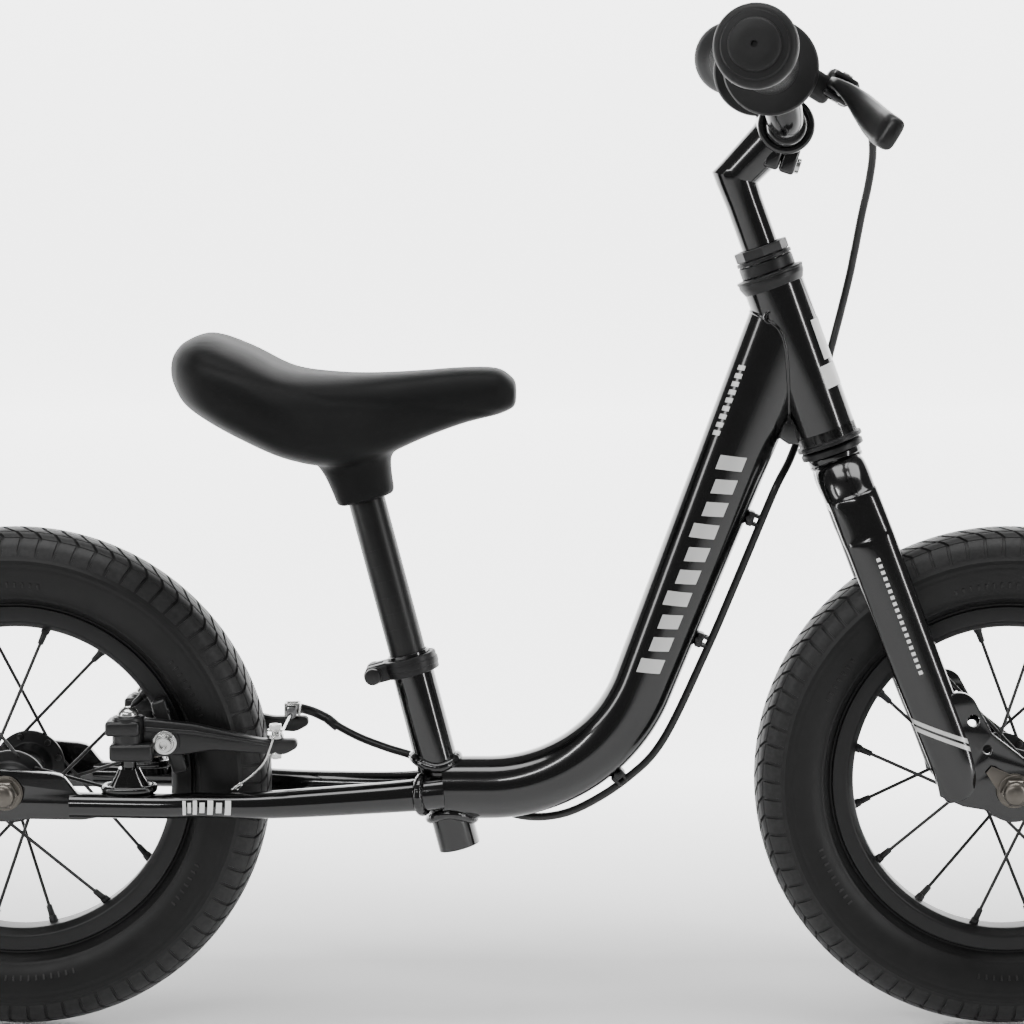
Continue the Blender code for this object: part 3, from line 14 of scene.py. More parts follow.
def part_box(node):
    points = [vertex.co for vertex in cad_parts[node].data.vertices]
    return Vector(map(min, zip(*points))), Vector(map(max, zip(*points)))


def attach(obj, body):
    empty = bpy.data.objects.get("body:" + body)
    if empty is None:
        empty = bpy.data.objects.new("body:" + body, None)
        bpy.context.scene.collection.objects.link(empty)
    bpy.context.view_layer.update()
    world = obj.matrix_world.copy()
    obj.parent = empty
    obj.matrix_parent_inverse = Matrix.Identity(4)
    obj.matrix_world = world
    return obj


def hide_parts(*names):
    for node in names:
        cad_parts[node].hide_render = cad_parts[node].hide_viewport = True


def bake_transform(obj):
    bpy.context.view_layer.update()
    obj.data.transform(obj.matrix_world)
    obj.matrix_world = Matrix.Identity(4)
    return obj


bl_info = {
    "name": "Balance Bike",
    "version": (1, 0, 0),
    "blender": (4, 5, 0),
    "location": "3D View > Sidebar > Balance Bike",
    "description": "Makes the finished pieces of a child's balance bike round its frame",
    "category": "Add Mesh",
}

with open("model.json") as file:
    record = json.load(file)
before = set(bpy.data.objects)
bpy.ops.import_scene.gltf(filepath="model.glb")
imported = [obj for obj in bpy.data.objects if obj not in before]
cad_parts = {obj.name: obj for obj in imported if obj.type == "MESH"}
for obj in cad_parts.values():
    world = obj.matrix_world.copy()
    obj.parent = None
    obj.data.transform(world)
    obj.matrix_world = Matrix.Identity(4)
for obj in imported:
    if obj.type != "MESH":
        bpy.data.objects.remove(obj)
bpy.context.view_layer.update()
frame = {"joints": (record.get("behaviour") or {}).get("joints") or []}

MM = 0.001
UP = Vector((0, 0, 1))
LEFTWARD = Vector((0, 1, 0))
SIDES = {"right": -1.0, "left": 1.0}
JOINTS = {joint["name"]: joint for joint in frame["joints"]}


def box_middle(node):
    low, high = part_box(node)
    return (low + high) / 2 / MM


def box_size(node):
    low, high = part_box(node)
    return (high - low) / MM


def joint_place(name):
    return Vector(JOINTS[name]["pos_m"]) / MM


def joint_axis(name):
    return Vector(JOINTS[name]["axis"]).normalized()


# Places that the frame gives.
REAR_AXLE = box_middle("rear_tyre")
FRONT_AXLE = box_middle("front_tyre")
AXLE_HEIGHT = FRONT_AXLE.z
TYRE_RADIUS = box_size("front_tyre").z / 2
STEER_UP = joint_axis("steering")
STEER_FOOT = joint_place("steering")
STEER_AHEAD = Vector((STEER_UP.z, 0, -STEER_UP.x))
SEAT_UP = joint_axis("seat_height")
SEAT_AHEAD = Vector((SEAT_UP.z, 0, -SEAT_UP.x))
HEAD_LENGTH = 99.0
HEAD_BASE = (box_middle("head_tube") - STEER_FOOT).dot(STEER_UP) - HEAD_LENGTH / 2
HEAD_TOP = HEAD_BASE + HEAD_LENGTH
SEAT_ABOVE, SEAT_BELOW = 86.0, 38.0
SEAT_FOOT = box_middle("seat_tube") - SEAT_UP * (SEAT_ABOVE - SEAT_BELOW) / 2
SADDLE_BASE = SEAT_FOOT + SEAT_UP * 182.0
LEVER_PIVOT = joint_place("brake_lever_pull")
LEVER_AXIS = joint_axis("brake_lever_pull")
LEVER_PULL = Vector((LEVER_AXIS.z, 0, -LEVER_AXIS.x))
BAR_CENTRE = LEVER_PIVOT - Vector((27.687, -76.0, 21.416))
CROWN_TOP = AXLE_HEIGHT + 70.0
STEM_ELBOW = HEAD_TOP + 68.0
BRAKE_LEVEL = joint_place("right_arm_swing").z
BRAKE_PIVOT_X = joint_place("right_arm_swing").x
WIRE_START = joint_place("wire_swing")
MAIN_JOIN = HEAD_BASE + 75.0


def on_steering(along, ahead=0.0, side=0.0):
    return STEER_FOOT + along * STEER_UP + ahead * STEER_AHEAD + side * LEFTWARD


def on_seat_tube(along, ahead=0.0, side=0.0):
    return SEAT_FOOT + along * SEAT_UP + ahead * SEAT_AHEAD + side * LEFTWARD


# Properties.


class BikeSizes(bpy.types.PropertyGroup):
    """Sizes that change how the finished bike looks."""

    tread_depth: bpy.props.FloatProperty(
        name="Tread Depth", description="Height of the tread blocks above the casing", default=0.0014, unit="LENGTH")
    tread_count: bpy.props.IntProperty(
        name="Tread Pitches", description="Number of tread blocks round each tyre", default=82, min=36)
    spoke_width: bpy.props.FloatProperty(
        name="Spoke Width", description="Diameter of the steel spokes", default=0.0021, unit="LENGTH")
    grip_rib: bpy.props.FloatProperty(
        name="Grip Rib Depth", description="Height of the ribs round each grip", default=0.0007, unit="LENGTH")
    weld_width: bpy.props.FloatProperty(
        name="Weld Width", description="Width of the weld beads on the frame", default=0.0066, unit="LENGTH")
    wire_width: bpy.props.FloatProperty(
        name="Brake Wire Width", description="Diameter of the stranded brake wire", default=0.0016, unit="LENGTH")
    saddle_voxel: bpy.props.FloatProperty(
        name="Saddle Mesh Size", description="Spacing of the saddle's blended mesh", default=0.0021, unit="LENGTH")


class BikeColours(bpy.types.PropertyGroup):
    """Colours of the bike's finishes."""

    paint: bpy.props.FloatVectorProperty(
        name="Paint", description="Gloss paint on the frame and fork", subtype="COLOR",
        default=(0.0012, 0.0012, 0.0013))
    alloy: bpy.props.FloatVectorProperty(
        name="Dark Alloy", description="Satin black rims and hubs", subtype="COLOR", default=(0.005, 0.005, 0.0053))
    tyre: bpy.props.FloatVectorProperty(
        name="Tyre", description="Tyre rubber", subtype="COLOR", default=(0.0035, 0.0035, 0.0036))
    saddle: bpy.props.FloatVectorProperty(
        name="Saddle", description="Saddle skin", subtype="COLOR", default=(0.0035, 0.0037, 0.0038))
    decal: bpy.props.FloatVectorProperty(
        name="Decal", description="Silver bars and stripes", subtype="COLOR", default=(0.62, 0.62, 0.61))


# Material node groups.


def shader_group(name, inputs, outputs):
    """A new node group with named sockets, and its inner input and output nodes."""
    group = bpy.data.node_groups.new(name, "ShaderNodeTree")
    for label, default in inputs:
        socket = group.interface.new_socket(name=label, in_out="INPUT", socket_type="NodeSocketFloat")
        socket.default_value = default
    for label in outputs:
        group.interface.new_socket(name=label, in_out="OUTPUT", socket_type="NodeSocketFloat")
    return group, group.nodes.new("NodeGroupInput"), group.nodes.new("NodeGroupOutput")


def maths(tree, operation, first, second, clamp=False):
    """A Math node whose two inputs are sockets or plain numbers."""
    node = tree.nodes.new("ShaderNodeMath")
    node.operation = operation
    node.use_clamp = clamp
    for slot, value in zip(node.inputs, (first, second)):
        if isinstance(value, (int, float)):
            slot.default_value = value
        else:
            tree.links.new(value, slot)
    return node.outputs[0]


def noise_of(tree, scale, detail=3.0, stretch=None):
    """Noise over the object's own coordinates."""
    coordinates = tree.nodes.new("ShaderNodeTexCoord").outputs["Object"]
    if stretch:
        mapping = tree.nodes.new("ShaderNodeMapping")
        mapping.inputs["Scale"].default_value = stretch
        tree.links.new(coordinates, mapping.inputs["Vector"])
        coordinates = mapping.outputs["Vector"]
    node = tree.nodes.new("ShaderNodeTexNoise")
    node.inputs["Detail"].default_value = detail
    tree.links.new(coordinates, node.inputs["Vector"])
    if isinstance(scale, (int, float)):
        node.inputs["Scale"].default_value = scale
    else:
        tree.links.new(scale, node.inputs["Scale"])
    return node.outputs["Fac"]


def make_grain_group():
    """Pebbled grain: small cells broken up by finer noise."""
    group, given, made = shader_group("pebbled grain", [("Scale", 900.0), ("Sharpness", 0.5)], ["Height", "Shade"])
    cells = group.nodes.new("ShaderNodeTexVoronoi")
    coordinates = group.nodes.new("ShaderNodeTexCoord")
    group.links.new(coordinates.outputs["Object"], cells.inputs["Vector"])
    group.links.new(given.outputs["Scale"], cells.inputs["Scale"])
    fine = noise_of(group, maths(group, "MULTIPLY", given.outputs["Scale"], 2.3))
    shaped = maths(group, "MULTIPLY", cells.outputs["Distance"], given.outputs["Sharpness"])
    group.links.new(maths(group, "ADD", shaped, maths(group, "MULTIPLY", fine, 0.6)), made.inputs["Height"])
    broad = noise_of(group, maths(group, "MULTIPLY", given.outputs["Scale"], 0.035), 5.0)
    group.links.new(broad, made.inputs["Shade"])
    return group


def make_gloss_group():
    """Roughness that wanders round a middle value, as handling leaves it."""
    group, given, made = shader_group("handled gloss", [("Middle", 0.3), ("Spread", 0.1), ("Scale", 60.0)],
                                      ["Roughness"])
    broad = noise_of(group, given.outputs["Scale"], 6.0)
    shifted = maths(group, "MULTIPLY", maths(group, "SUBTRACT", broad, 0.5), given.outputs["Spread"])
    group.links.new(maths(group, "ADD", given.outputs["Middle"], shifted, True), made.inputs["Roughness"])
    return group


def make_dust_group():
    """A mask of light dust on faces that look up, in uneven patches."""
    group, given, made = shader_group("settled dust", [("Amount", 0.2), ("Scale", 90.0)], ["Mask"])
    facing = group.nodes.new("ShaderNodeSeparateXYZ")
    group.links.new(group.nodes.new("ShaderNodeNewGeometry").outputs["Normal"], facing.inputs[0])
    upward = maths(group, "MULTIPLY", maths(group, "ADD", facing.outputs["Z"], 1.0), 0.5)
    patches = maths(group, "POWER", noise_of(group, given.outputs["Scale"], 8.0), 2.0)
    mask = maths(group, "MULTIPLY", maths(group, "MULTIPLY", upward, patches), given.outputs["Amount"], True)
    group.links.new(mask, made.inputs["Mask"])
    return group


def make_wear_group():
    """A mask of lighter convex corners, from how sharply the surface bends: rubbed wear on most finishes, and painted
    highlight on the tyre's tread edges.
    """
    group, given, made = shader_group("worn edges and painted highlight", [("Amount", 0.3), ("Scale", 400.0)], ["Mask"])
    bend = group.nodes.new("ShaderNodeNewGeometry").outputs["Pointiness"]
    sharp = maths(group, "MULTIPLY", maths(group, "SUBTRACT", bend, 0.53), 14.0, True)
    broken = maths(group, "MULTIPLY", sharp, noise_of(group, given.outputs["Scale"], 6.0))
    group.links.new(maths(group, "MULTIPLY", broken, given.outputs["Amount"], True), made.inputs["Mask"])
    return group


def placed_group(tree, group, values):
    node = tree.nodes.new("ShaderNodeGroup")
    node.node_tree = group
    for label, value in values.items():
        node.inputs[label].default_value = value
    return node


def mixed(tree, amount, first, second):
    """A colour Mix node. The first colour is a socket or a plain colour."""
    node = tree.nodes.new("ShaderNodeMix")
    node.data_type = "RGBA"
    tree.links.new(amount, node.inputs["Factor"])
    if isinstance(first, tuple):
        node.inputs["A"].default_value = (*first, 1.0)
    else:
        tree.links.new(first, node.inputs["A"])
    node.inputs["B"].default_value = (*second, 1.0)
    return node.outputs["Result"]


FINISHES = {}
GROUPS = {}
DUST_COLOUR = (0.09, 0.087, 0.082)


def make_finish(name, slot, colour, roughness, metallic=0.0, grain=900.0, depth=0.00002, spread=0.08, patch=70.0,
                dust=0.05, wear=0.0, bare_and_highlight=(0.3, 0.3, 0.3), coat=0.0, gleam=0.5, shade=1.5, sharpness=0.5):
    """A Principled finish with its own grain, uneven gloss, dust and lighter convex edges, which are rubbed wear on
    most finishes and painted highlight on the tyre.
    """
    made = bpy.data.materials.new(name)
    made.use_nodes = True
    tree = made.node_tree
    shader = tree.nodes["Principled BSDF"]
    shader.inputs["Metallic"].default_value = metallic
    shader.inputs["Coat Weight"].default_value = coat
    shader.inputs["Coat Roughness"].default_value = 0.04
    shader.inputs["Specular IOR Level"].default_value = gleam
    surface = placed_group(tree, GROUPS["grain"], {"Scale": grain, "Sharpness": sharpness})
    gloss = placed_group(tree, GROUPS["gloss"], {"Middle": roughness, "Spread": spread, "Scale": patch})
    settled = placed_group(tree, GROUPS["dust"], {"Amount": dust, "Scale": patch})
    worn_and_highlit_edges = placed_group(tree, GROUPS["wear"], {"Amount": wear})
    lighter = tuple(min(1.0, part * shade) for part in colour)
    tone = mixed(tree, surface.outputs["Shade"], tuple(colour), lighter)
    tone = mixed(tree, settled.outputs["Mask"], tone, DUST_COLOUR)
    # Convex edges take the edge colour: rubbed wear on most finishes, and on the tyre a painted highlight along the
    # tread edges.
    tone = mixed(tree, worn_and_highlit_edges.outputs["Mask"], tone, bare_and_highlight)
    bump = tree.nodes.new("ShaderNodeBump")
    bump.inputs["Strength"].default_value = 0.6
    bump.inputs["Distance"].default_value = depth
    tree.links.new(surface.outputs["Height"], bump.inputs["Height"])
    tree.links.new(bump.outputs["Normal"], shader.inputs["Normal"])
    tree.links.new(tone, shader.inputs["Base Color"])
    tree.links.new(gloss.outputs["Roughness"], shader.inputs["Roughness"])
    FINISHES[name] = (made, slot)


# Mesh making, in millimetres.


class Shape:
    """A mesh under way. Its pieces may run into each other where the real ones are welded or moulded as one."""

    def __init__(self):
        self.bm = bmesh.new()

    def skin(self, rings, looped=False):
        """A skin over rings of places, closed at both ends or joined end to end."""
        made = [[self.bm.verts.new(place * MM) for place in ring] for ring in rings]
        pairs = list(zip(made, made[1:])) + ([(made[-1], made[0])] if looped else [])
        for low, high in pairs:
            for i in range(len(low)):
                j = (i + 1) % len(low)
                self.bm.faces.new((low[i], low[j], high[j], high[i]))
        if not looped:
            self.bm.faces.new(made[0][::-1])
            self.bm.faces.new(made[-1])
        return self

    def turned(self, profile, base, axis, steps=64):
        """Turn a closed outline of (radius, height) about an axis."""
        axis = axis.normalized()
        across = square_to(axis)
        beside = axis.cross(across)
        rings = []
        for k in range(steps):
            angle = 2 * math.pi * k / steps
            out = across * math.cos(angle) + beside * math.sin(angle)
            rings.append([base + out * radius + axis * height for radius, height in profile])
        return self.skin(rings, looped=True)

    def rod(self, start, end, radius, end_radius=None, edge=0.5, steps=40):
        """A round bar with softened ends."""
        length = (end - start).length
        last = radius if end_radius is None else end_radius
        profile = [(0.0, 0.0), (radius - edge, 0.0), (radius - edge * 0.3, edge * 0.3), (radius, edge),
                   (last, length - edge), (last - edge * 0.3, length - edge * 0.3), (last - edge, length),
                   (0.0, length)]
        return self.turned(profile, start, end - start, steps)

    def tube(self, path, radii, steps=36, across_radii=None, looped=False):
        """A tube along a path. Radii lie in the bend's plane, and across_radii square to it."""
        count = len(path)
        radii = [radii] * count if isinstance(radii, (int, float)) else radii
        wide = across_radii or radii
        rings = []
        beside = None
        for i, place in enumerate(path):
            before = path[i - 1] if (i or looped) else path[0]
            after = path[(i + 1) % count] if (i + 1 < count or looped) else path[-1]
            along = (after - before).normalized()
            start = beside if beside is not None else (LEFTWARD if abs(along.y) < 0.9 else UP)
            beside = (start - along * start.dot(along)).normalized()
            above = along.cross(beside)
            rings.append([place + beside * wide[i] * math.cos(a) + above * radii[i] * math.sin(a)
                          for a in angles(steps)])
        return self.skin(rings, looped)

    def block(self, centre, size, turn=None, edge=1.0):
        """A box with rounded edges."""
        made = bmesh.ops.create_cube(self.bm, size=1.0)["verts"]
        matrix = Matrix.Translation(centre * MM) @ (turn or Matrix.Identity(4))
        matrix = matrix @ Matrix.Diagonal((*(Vector(size) * MM), 1.0))
        bmesh.ops.transform(self.bm, matrix=matrix, verts=made)
        edges = list(dict.fromkeys(link for vert in made for link in vert.link_edges))
        bmesh.ops.bevel(self.bm, geom=edges, offset=edge * MM, segments=3, affect="EDGES", profile=0.5)
        return self

    def plate(self, outlines, thickness, middle_y, edge=0.7):
        """A flat plate in the X-Z plane with rounded edges. Outlines after the first are holes."""
        curve = bpy.data.curves.new("outline", "CURVE")
        curve.dimensions = "2D"
        curve.fill_mode = "BOTH"
        curve.extrude = (thickness / 2 - edge) * MM
        curve.bevel_depth = edge * MM
        curve.bevel_resolution = 2
        curve.offset = -edge * MM
        for outline in outlines:
            spline = curve.splines.new("POLY")
            spline.points.add(len(outline) - 1)
            for point, (x, z) in zip(spline.points, outline):
                point.co = (x * MM, z * MM, 0.0, 1.0)
            spline.use_cyclic_u = True
        mesh = mesh_of(bpy.data.objects.new("outline", curve))
        mesh.transform(Matrix.Translation((0, middle_y * MM, 0)) @ Matrix.Rotation(math.radians(90), 4, "X"))
        self.bm.from_mesh(mesh)
        return self

    def bored(self, start, end, radius):
        """Cut a round hole through all of it."""
        items = []
        for shape in (self, Shape().rod(start, end, radius, edge=0.2, steps=64)):
            bmesh.ops.recalc_face_normals(shape.bm, faces=shape.bm.faces)
            mesh = bpy.data.meshes.new("bored")
            shape.bm.to_mesh(mesh)
            shape.bm.free()
            items.append(bpy.data.objects.new("bored", mesh))
        body, tool = items
        bpy.context.scene.collection.objects.link(tool)
        hole = body.modifiers.new("hole", "BOOLEAN")
        hole.operation = "DIFFERENCE"
        hole.solver = "EXACT"
        hole.object = tool
        mesh = mesh_of(body)
        bpy.data.objects.remove(tool, do_unlink=True)
        self.bm = bmesh.new()
        self.bm.from_mesh(mesh)
        return self

    def close(self, name, body, finish, stands_for=(), angle=32.0):
        """Make the object, give it its finish and let it ride on its body."""
        bmesh.ops.remove_doubles(self.bm, verts=self.bm.verts, dist=0.0000005)
        bmesh.ops.recalc_face_normals(self.bm, faces=self.bm.faces)
        mesh = bpy.data.meshes.new(name)
        self.bm.to_mesh(mesh)
        self.bm.free()
        return settle(name, mesh, body, finish, stands_for, angle)


def settle(name, mesh, body, finish, stands_for=(), angle=32.0, rides=True):
    mesh.shade_smooth()
    mesh.set_sharp_from_angle(angle=math.radians(angle))
    piece = bpy.data.objects.new(name, mesh)
    bpy.context.scene.collection.objects.link(piece)
    material, slot = FINISHES[finish]
    mesh.materials.clear()
    mesh.materials.append(material)
    if stands_for:
        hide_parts(*stands_for)
    if rides:
        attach(piece, body)
    return piece


def mesh_of(item):
    """The finished mesh of an object that isn't kept."""
    bpy.context.scene.collection.objects.link(item)
    bpy.context.view_layer.update()
    mesh = bpy.data.meshes.new_from_object(item.evaluated_get(bpy.context.evaluated_depsgraph_get()))
    bpy.data.objects.remove(item, do_unlink=True)
    return mesh


def square_to(axis):
    helper = LEFTWARD if abs(axis.y) < 0.9 else UP
    return (helper - axis * helper.dot(axis)).normalized()


def angles(count):
    return [2 * math.pi * k / count for k in range(count)]


def arc(centre_x, centre_z, radius, first, last, count):
    steps = [math.radians(first + (last - first) * i / (count - 1)) for i in range(count)]
    return [(centre_x + radius * math.cos(a), centre_z + radius * math.sin(a)) for a in steps]


def circle(centre_x, centre_z, radius, count=40):
    return arc(centre_x, centre_z, radius, 0, 360 - 360 / count, count)


def softened(outline, radius, count=4):
    """A closed outline with its corners rounded."""
    made = []
    for i, corner in enumerate(outline):
        corner = Vector(corner)
        before, after = Vector(outline[i - 1]), Vector(outline[(i + 1) % len(outline)])
        reach = min(radius, (before - corner).length * 0.45, (after - corner).length * 0.45)
        if corner[0] == 0.0 or reach < 0.01:
            made.append(tuple(corner))
            continue
        first = corner + (before - corner).normalized() * reach
        last = corner + (after - corner).normalized() * reach
        for k in range(count + 1):
            t = k / count
            made.append(tuple(first * (1 - t) ** 2 + corner * 2 * t * (1 - t) + last * t ** 2))
    return made


def rounded(corners, radius, count=10):
    """A path through corners, each replaced by a bend."""
    path = [corners[0]]
    for before, corner, after in zip(corners, corners[1:], corners[2:]):
        reach_in = min(radius, (before - corner).length * 0.49)
        reach_out = min(radius, (after - corner).length * 0.49)
        first = corner + (before - corner).normalized() * reach_in
        last = corner + (after - corner).normalized() * reach_out
        for i in range(count + 1):
            t = i / count
            path.append(first * (1 - t) ** 2 + corner * 2 * t * (1 - t) + last * t ** 2)
    path.append(corners[-1])
    return path


def spline_through(rows, steps):
    """Rows of numbers, with smooth rows put between them."""
    rows = [Vector(row) for row in rows]
    ends = [rows[0] * 2 - rows[1]] + rows + [rows[-1] * 2 - rows[-2]]
    made = []
    for a, b, c, d in zip(ends, ends[1:], ends[2:], ends[3:]):
        for i in range(steps):
            t = i / steps
            made.append(0.5 * (2 * b + (c - a) * t + (2 * a - 5 * b + 4 * c - d) * t ** 2
                               + (3 * b - a - 3 * c + d) * t ** 3))
    made.append(rows[-1])
    return made


class Route:
    """A path measured by its length."""

    def __init__(self, places):
        self.places = places
        self.marks = [0.0]
        for a, b in zip(places, places[1:]):
            self.marks.append(self.marks[-1] + (b - a).length)

    def at(self, length):
        i = 0
        while i < len(self.places) - 2 and self.marks[i + 1] < length:
            i += 1
        share = (length - self.marks[i]) / (self.marks[i + 1] - self.marks[i])
        a, b = self.places[i], self.places[i + 1]
        return a.lerp(b, share), (b - a).normalized()


def patch(shape, surface, start, end, low, high, slant=0.0, lift=0.22, steps=10):
    """A thin sticker on a surface given by (length, angle, lift)."""
    rings = []
    for i in range(steps + 1):
        share = i / steps
        angle = low + (high - low) * share
        shift = slant * (share - 0.5)
        rings.append([surface(start + shift, angle, -0.4), surface(start + shift, angle, lift),
                      surface(end + shift, angle, lift), surface(end + shift, angle, -0.4)])
    shape.skin(rings)


def weld_loop(start, along, radius, wide, other, other_axis, other_radius, count=96):
    """Where a tube that runs along a direction first meets another round tube."""
    beside = square_to(along)
    above = along.cross(beside)
    loop = []
    for a in angles(count):
        place = start + beside * wide * math.cos(a) + above * radius * math.sin(a)
        gap = place - other
        flat_gap = gap - other_axis * gap.dot(other_axis)
        flat_along = along - other_axis * along.dot(other_axis)
        qa = flat_along.length_squared
        qb = 2 * flat_gap.dot(flat_along)
        qc = flat_gap.length_squared - other_radius ** 2
        root = qb * qb - 4 * qa * qc
        if root < 0:
            continue
        loop.append(place + along * (-qb - math.sqrt(root)) / (2 * qa))
    return loop


def add_weld(shape, loop, width):
    """A rippled bead along a loop."""
    dense = Route(loop + [loop[0]])
    count = max(24, int(dense.marks[-1] / 0.7))
    path = [dense.at(dense.marks[-1] * i / count)[0] for i in range(count)]
    radii = [width / 2 * (0.97 + 0.03 * math.sin(2 * math.pi * i / 3.0)) for i in range(count)]
    shape.tube(path, radii, steps=14, looped=True)


# Finishes.


class BIKE_OT_finishes(bpy.types.Operator):
    """Make the paints, rubbers, plastics and metals."""

    bl_idname = "bike.finishes"
    bl_label = "Finishes"

    def execute(self, context):
        colours = context.scene.bike_colours
        GROUPS.update(grain=make_grain_group(), gloss=make_gloss_group(), dust=make_dust_group(),
                      wear=make_wear_group())
        make_finish("gloss black paint", "black_paint", colours.paint, 0.16, grain=220.0, depth=0.000012, spread=0.06,
                    dust=0.012, coat=0.6, shade=1.4)
        make_finish("satin black paint", "black_paint", colours.paint, 0.38, grain=900.0, depth=0.00001, dust=0.02,
                    gleam=0.4)
        make_finish("satin black alloy", "black_alloy", colours.alloy, 0.42, 0.25, grain=1400.0, depth=0.00001,
                    dust=0.03, wear=0.12, bare_and_highlight=(0.12, 0.12, 0.12))
        # The tyre's lighter edge colour is a painted highlight along the tread block edges, where light catches them.
        make_finish("tyre rubber", "tyre_rubber", colours.tyre, 0.46, grain=1500.0, depth=0.00005, spread=0.2,
                    dust=0.05, wear=0.3, bare_and_highlight=(0.07, 0.07, 0.07), gleam=0.3, shade=1.9)
        make_finish("grip rubber", "grip_rubber", (0.005, 0.005, 0.0052), 0.55, grain=1300.0, depth=0.00003,
                    dust=0.02, wear=0.2, bare_and_highlight=(0.05, 0.05, 0.05), gleam=0.34, shade=1.5)
        make_finish("saddle skin", "saddle_skin", colours.saddle, 0.56, grain=620.0, depth=0.00006, spread=0.1,
                    dust=0.01, gleam=0.16, shade=1.5, sharpness=0.9)
        make_finish("brake plastic", "brake_plastic", (0.004, 0.004, 0.0042), 0.36, grain=1000.0, depth=0.00002,
                    dust=0.015, wear=0.15, bare_and_highlight=(0.07, 0.07, 0.07))
        make_finish("bright steel", "bright_steel", (0.55, 0.55, 0.54), 0.24, 1.0, grain=700.0, depth=0.000008,
                    spread=0.18, dust=0.02, shade=1.25)
        make_finish("dark steel", "dark_steel", (0.115, 0.105, 0.092), 0.36, 0.9, grain=600.0, depth=0.00002,
                    spread=0.2, dust=0.05, wear=0.3, bare_and_highlight=(0.3, 0.28, 0.25), shade=1.5)
        make_finish("housing skin", "housing_skin", (0.008, 0.008, 0.008), 0.32, grain=900.0, depth=0.00001,
                    dust=0.03)
        make_finish("silver decal", "black_paint", colours.decal, 0.34, 0.35, grain=1800.0, depth=0.000004,
                    spread=0.06, dust=0.02, shade=1.15)
        make_finish("white decal", "black_paint", (0.8, 0.8, 0.79), 0.35, grain=1500.0, depth=0.000004, dust=0.02,
                    shade=1.08)
        make_finish("black spoke steel", "black_alloy", (0.012, 0.012, 0.012), 0.33, 0.3, grain=900.0,
                    depth=0.000005, dust=0.02)
        make_finish("grey boot rubber", "brake_plastic", (0.07, 0.07, 0.072), 0.5, grain=900.0, depth=0.00003,
                    dust=0.05, shade=1.4)
        return {"FINISHED"}


# Frame.

MAIN_LEAN = math.radians(21.4)
MAIN_BEND = 100.0
MAIN_RADIUS = 19.05
MAIN_TOP_RADIUS = 23.2
MAIN_TOP_HALF_WIDTH = 16.9
HEAD_RADIUS = 18.2
SEAT_RADIUS = 12.7


def main_tube_route():
    """Level from the seat tube, one bend, then straight to the head tube."""
    top = on_steering(MAIN_JOIN)
    rise = Vector((math.sin(MAIN_LEAN), 0, math.cos(MAIN_LEAN)))
    corner = top - rise * ((top.z - SEAT_FOOT.z) / rise.z)
    reach = MAIN_BEND * math.tan((math.pi / 2 - MAIN_LEAN) / 2)
    centre = Vector((corner.x - reach, 0, SEAT_FOOT.z + MAIN_BEND))
    bend = [centre + MAIN_BEND * Vector((math.sin(a), 0, -math.cos(a)))
            for a in [(math.pi / 2 - MAIN_LEAN) * i / 28 for i in range(29)]]
    flat = [SEAT_FOOT.lerp(bend[0], i / 6) for i in range(6)]
    straight = [bend[-1].lerp(top, i / 24) for i in range(1, 25)]
    return Route(flat + bend + straight)


MAIN_ROUTE = main_tube_route()
MAIN_LENGTH = MAIN_ROUTE.marks[-1]
MAIN_SWELL_START = MAIN_ROUTE.marks[34]


def main_radii(length):
    """(radius in the bend's plane, radius across it) along the main tube."""
    grown = max(0.0, (length - MAIN_SWELL_START) / (MAIN_LENGTH - MAIN_SWELL_START))
    tall = MAIN_RADIUS + (MAIN_TOP_RADIUS - MAIN_RADIUS) * grown
    wide = MAIN_RADIUS + (MAIN_TOP_HALF_WIDTH - MAIN_RADIUS) * grown
    return tall, wide


def main_surface(length, angle, lift):
    """A place on the main tube. Angle 0 is the rider's right, and 90 degrees is outside the bend."""
    place, along = MAIN_ROUTE.at(length)
    outside = Vector((along.z, 0, -along.x))
    tall, wide = main_radii(length)
    turn = math.radians(angle)
    return place - LEFTWARD * (wide + lift) * math.cos(turn) + outside * (tall + lift) * math.sin(turn)


def stay_path(side):
    front = REAR_AXLE.x + AXLE_HEIGHT
    height = AXLE_HEIGHT - 9.0
    start = SEAT_FOOT.x
    return [Vector((start, side * 12.5, SEAT_FOOT.z - 1)), Vector((start - 30, side * 15.5, height - 1)),
            Vector((front + 22, side * 28.0, height - 2)), Vector((front - 10, side * 37.5, height - 1.5)),
            Vector((front - 40, side * 43.5, height)), Vector((front - 62, side * 46.5, height)),
            Vector((REAR_AXLE.x + 38, side * 47.5, height + 1))]


STAY_STEPS = 10


def stay_section(side, share):
    """Middle, along, half height and half width of a stay at a share of its length."""
    path = spline_through(stay_path(side), STAY_STEPS)
    last = len(path) - 1
    i = min(last - 1, int(share * last))
    place = path[i].lerp(path[i + 1], share * last - i)
    along = (path[min(i + 1, last)] - path[max(i - 1, 0)]).normalized()
    flat = min(1.0, share / 0.6)
    return place, along, (20.5 - 5.5 * flat) / 2, (20.5 - 3.0 * flat) / 2


def stay_surface(side, share, angle, lift):
    place, along, tall, wide = stay_section(side, share)
    across = UP.cross(along).normalized()
    above = along.cross(across)
    turn = math.radians(angle)
    outward = across if across.y * side > 0 else -across
    return place + outward * (wide + lift) * math.cos(turn) + above * (tall + lift) * math.sin(turn)


def stay_outside(share, angle, lift):
    """The right stay's skin, as the decals need it."""
    return stay_surface(-1.0, share, angle, lift)


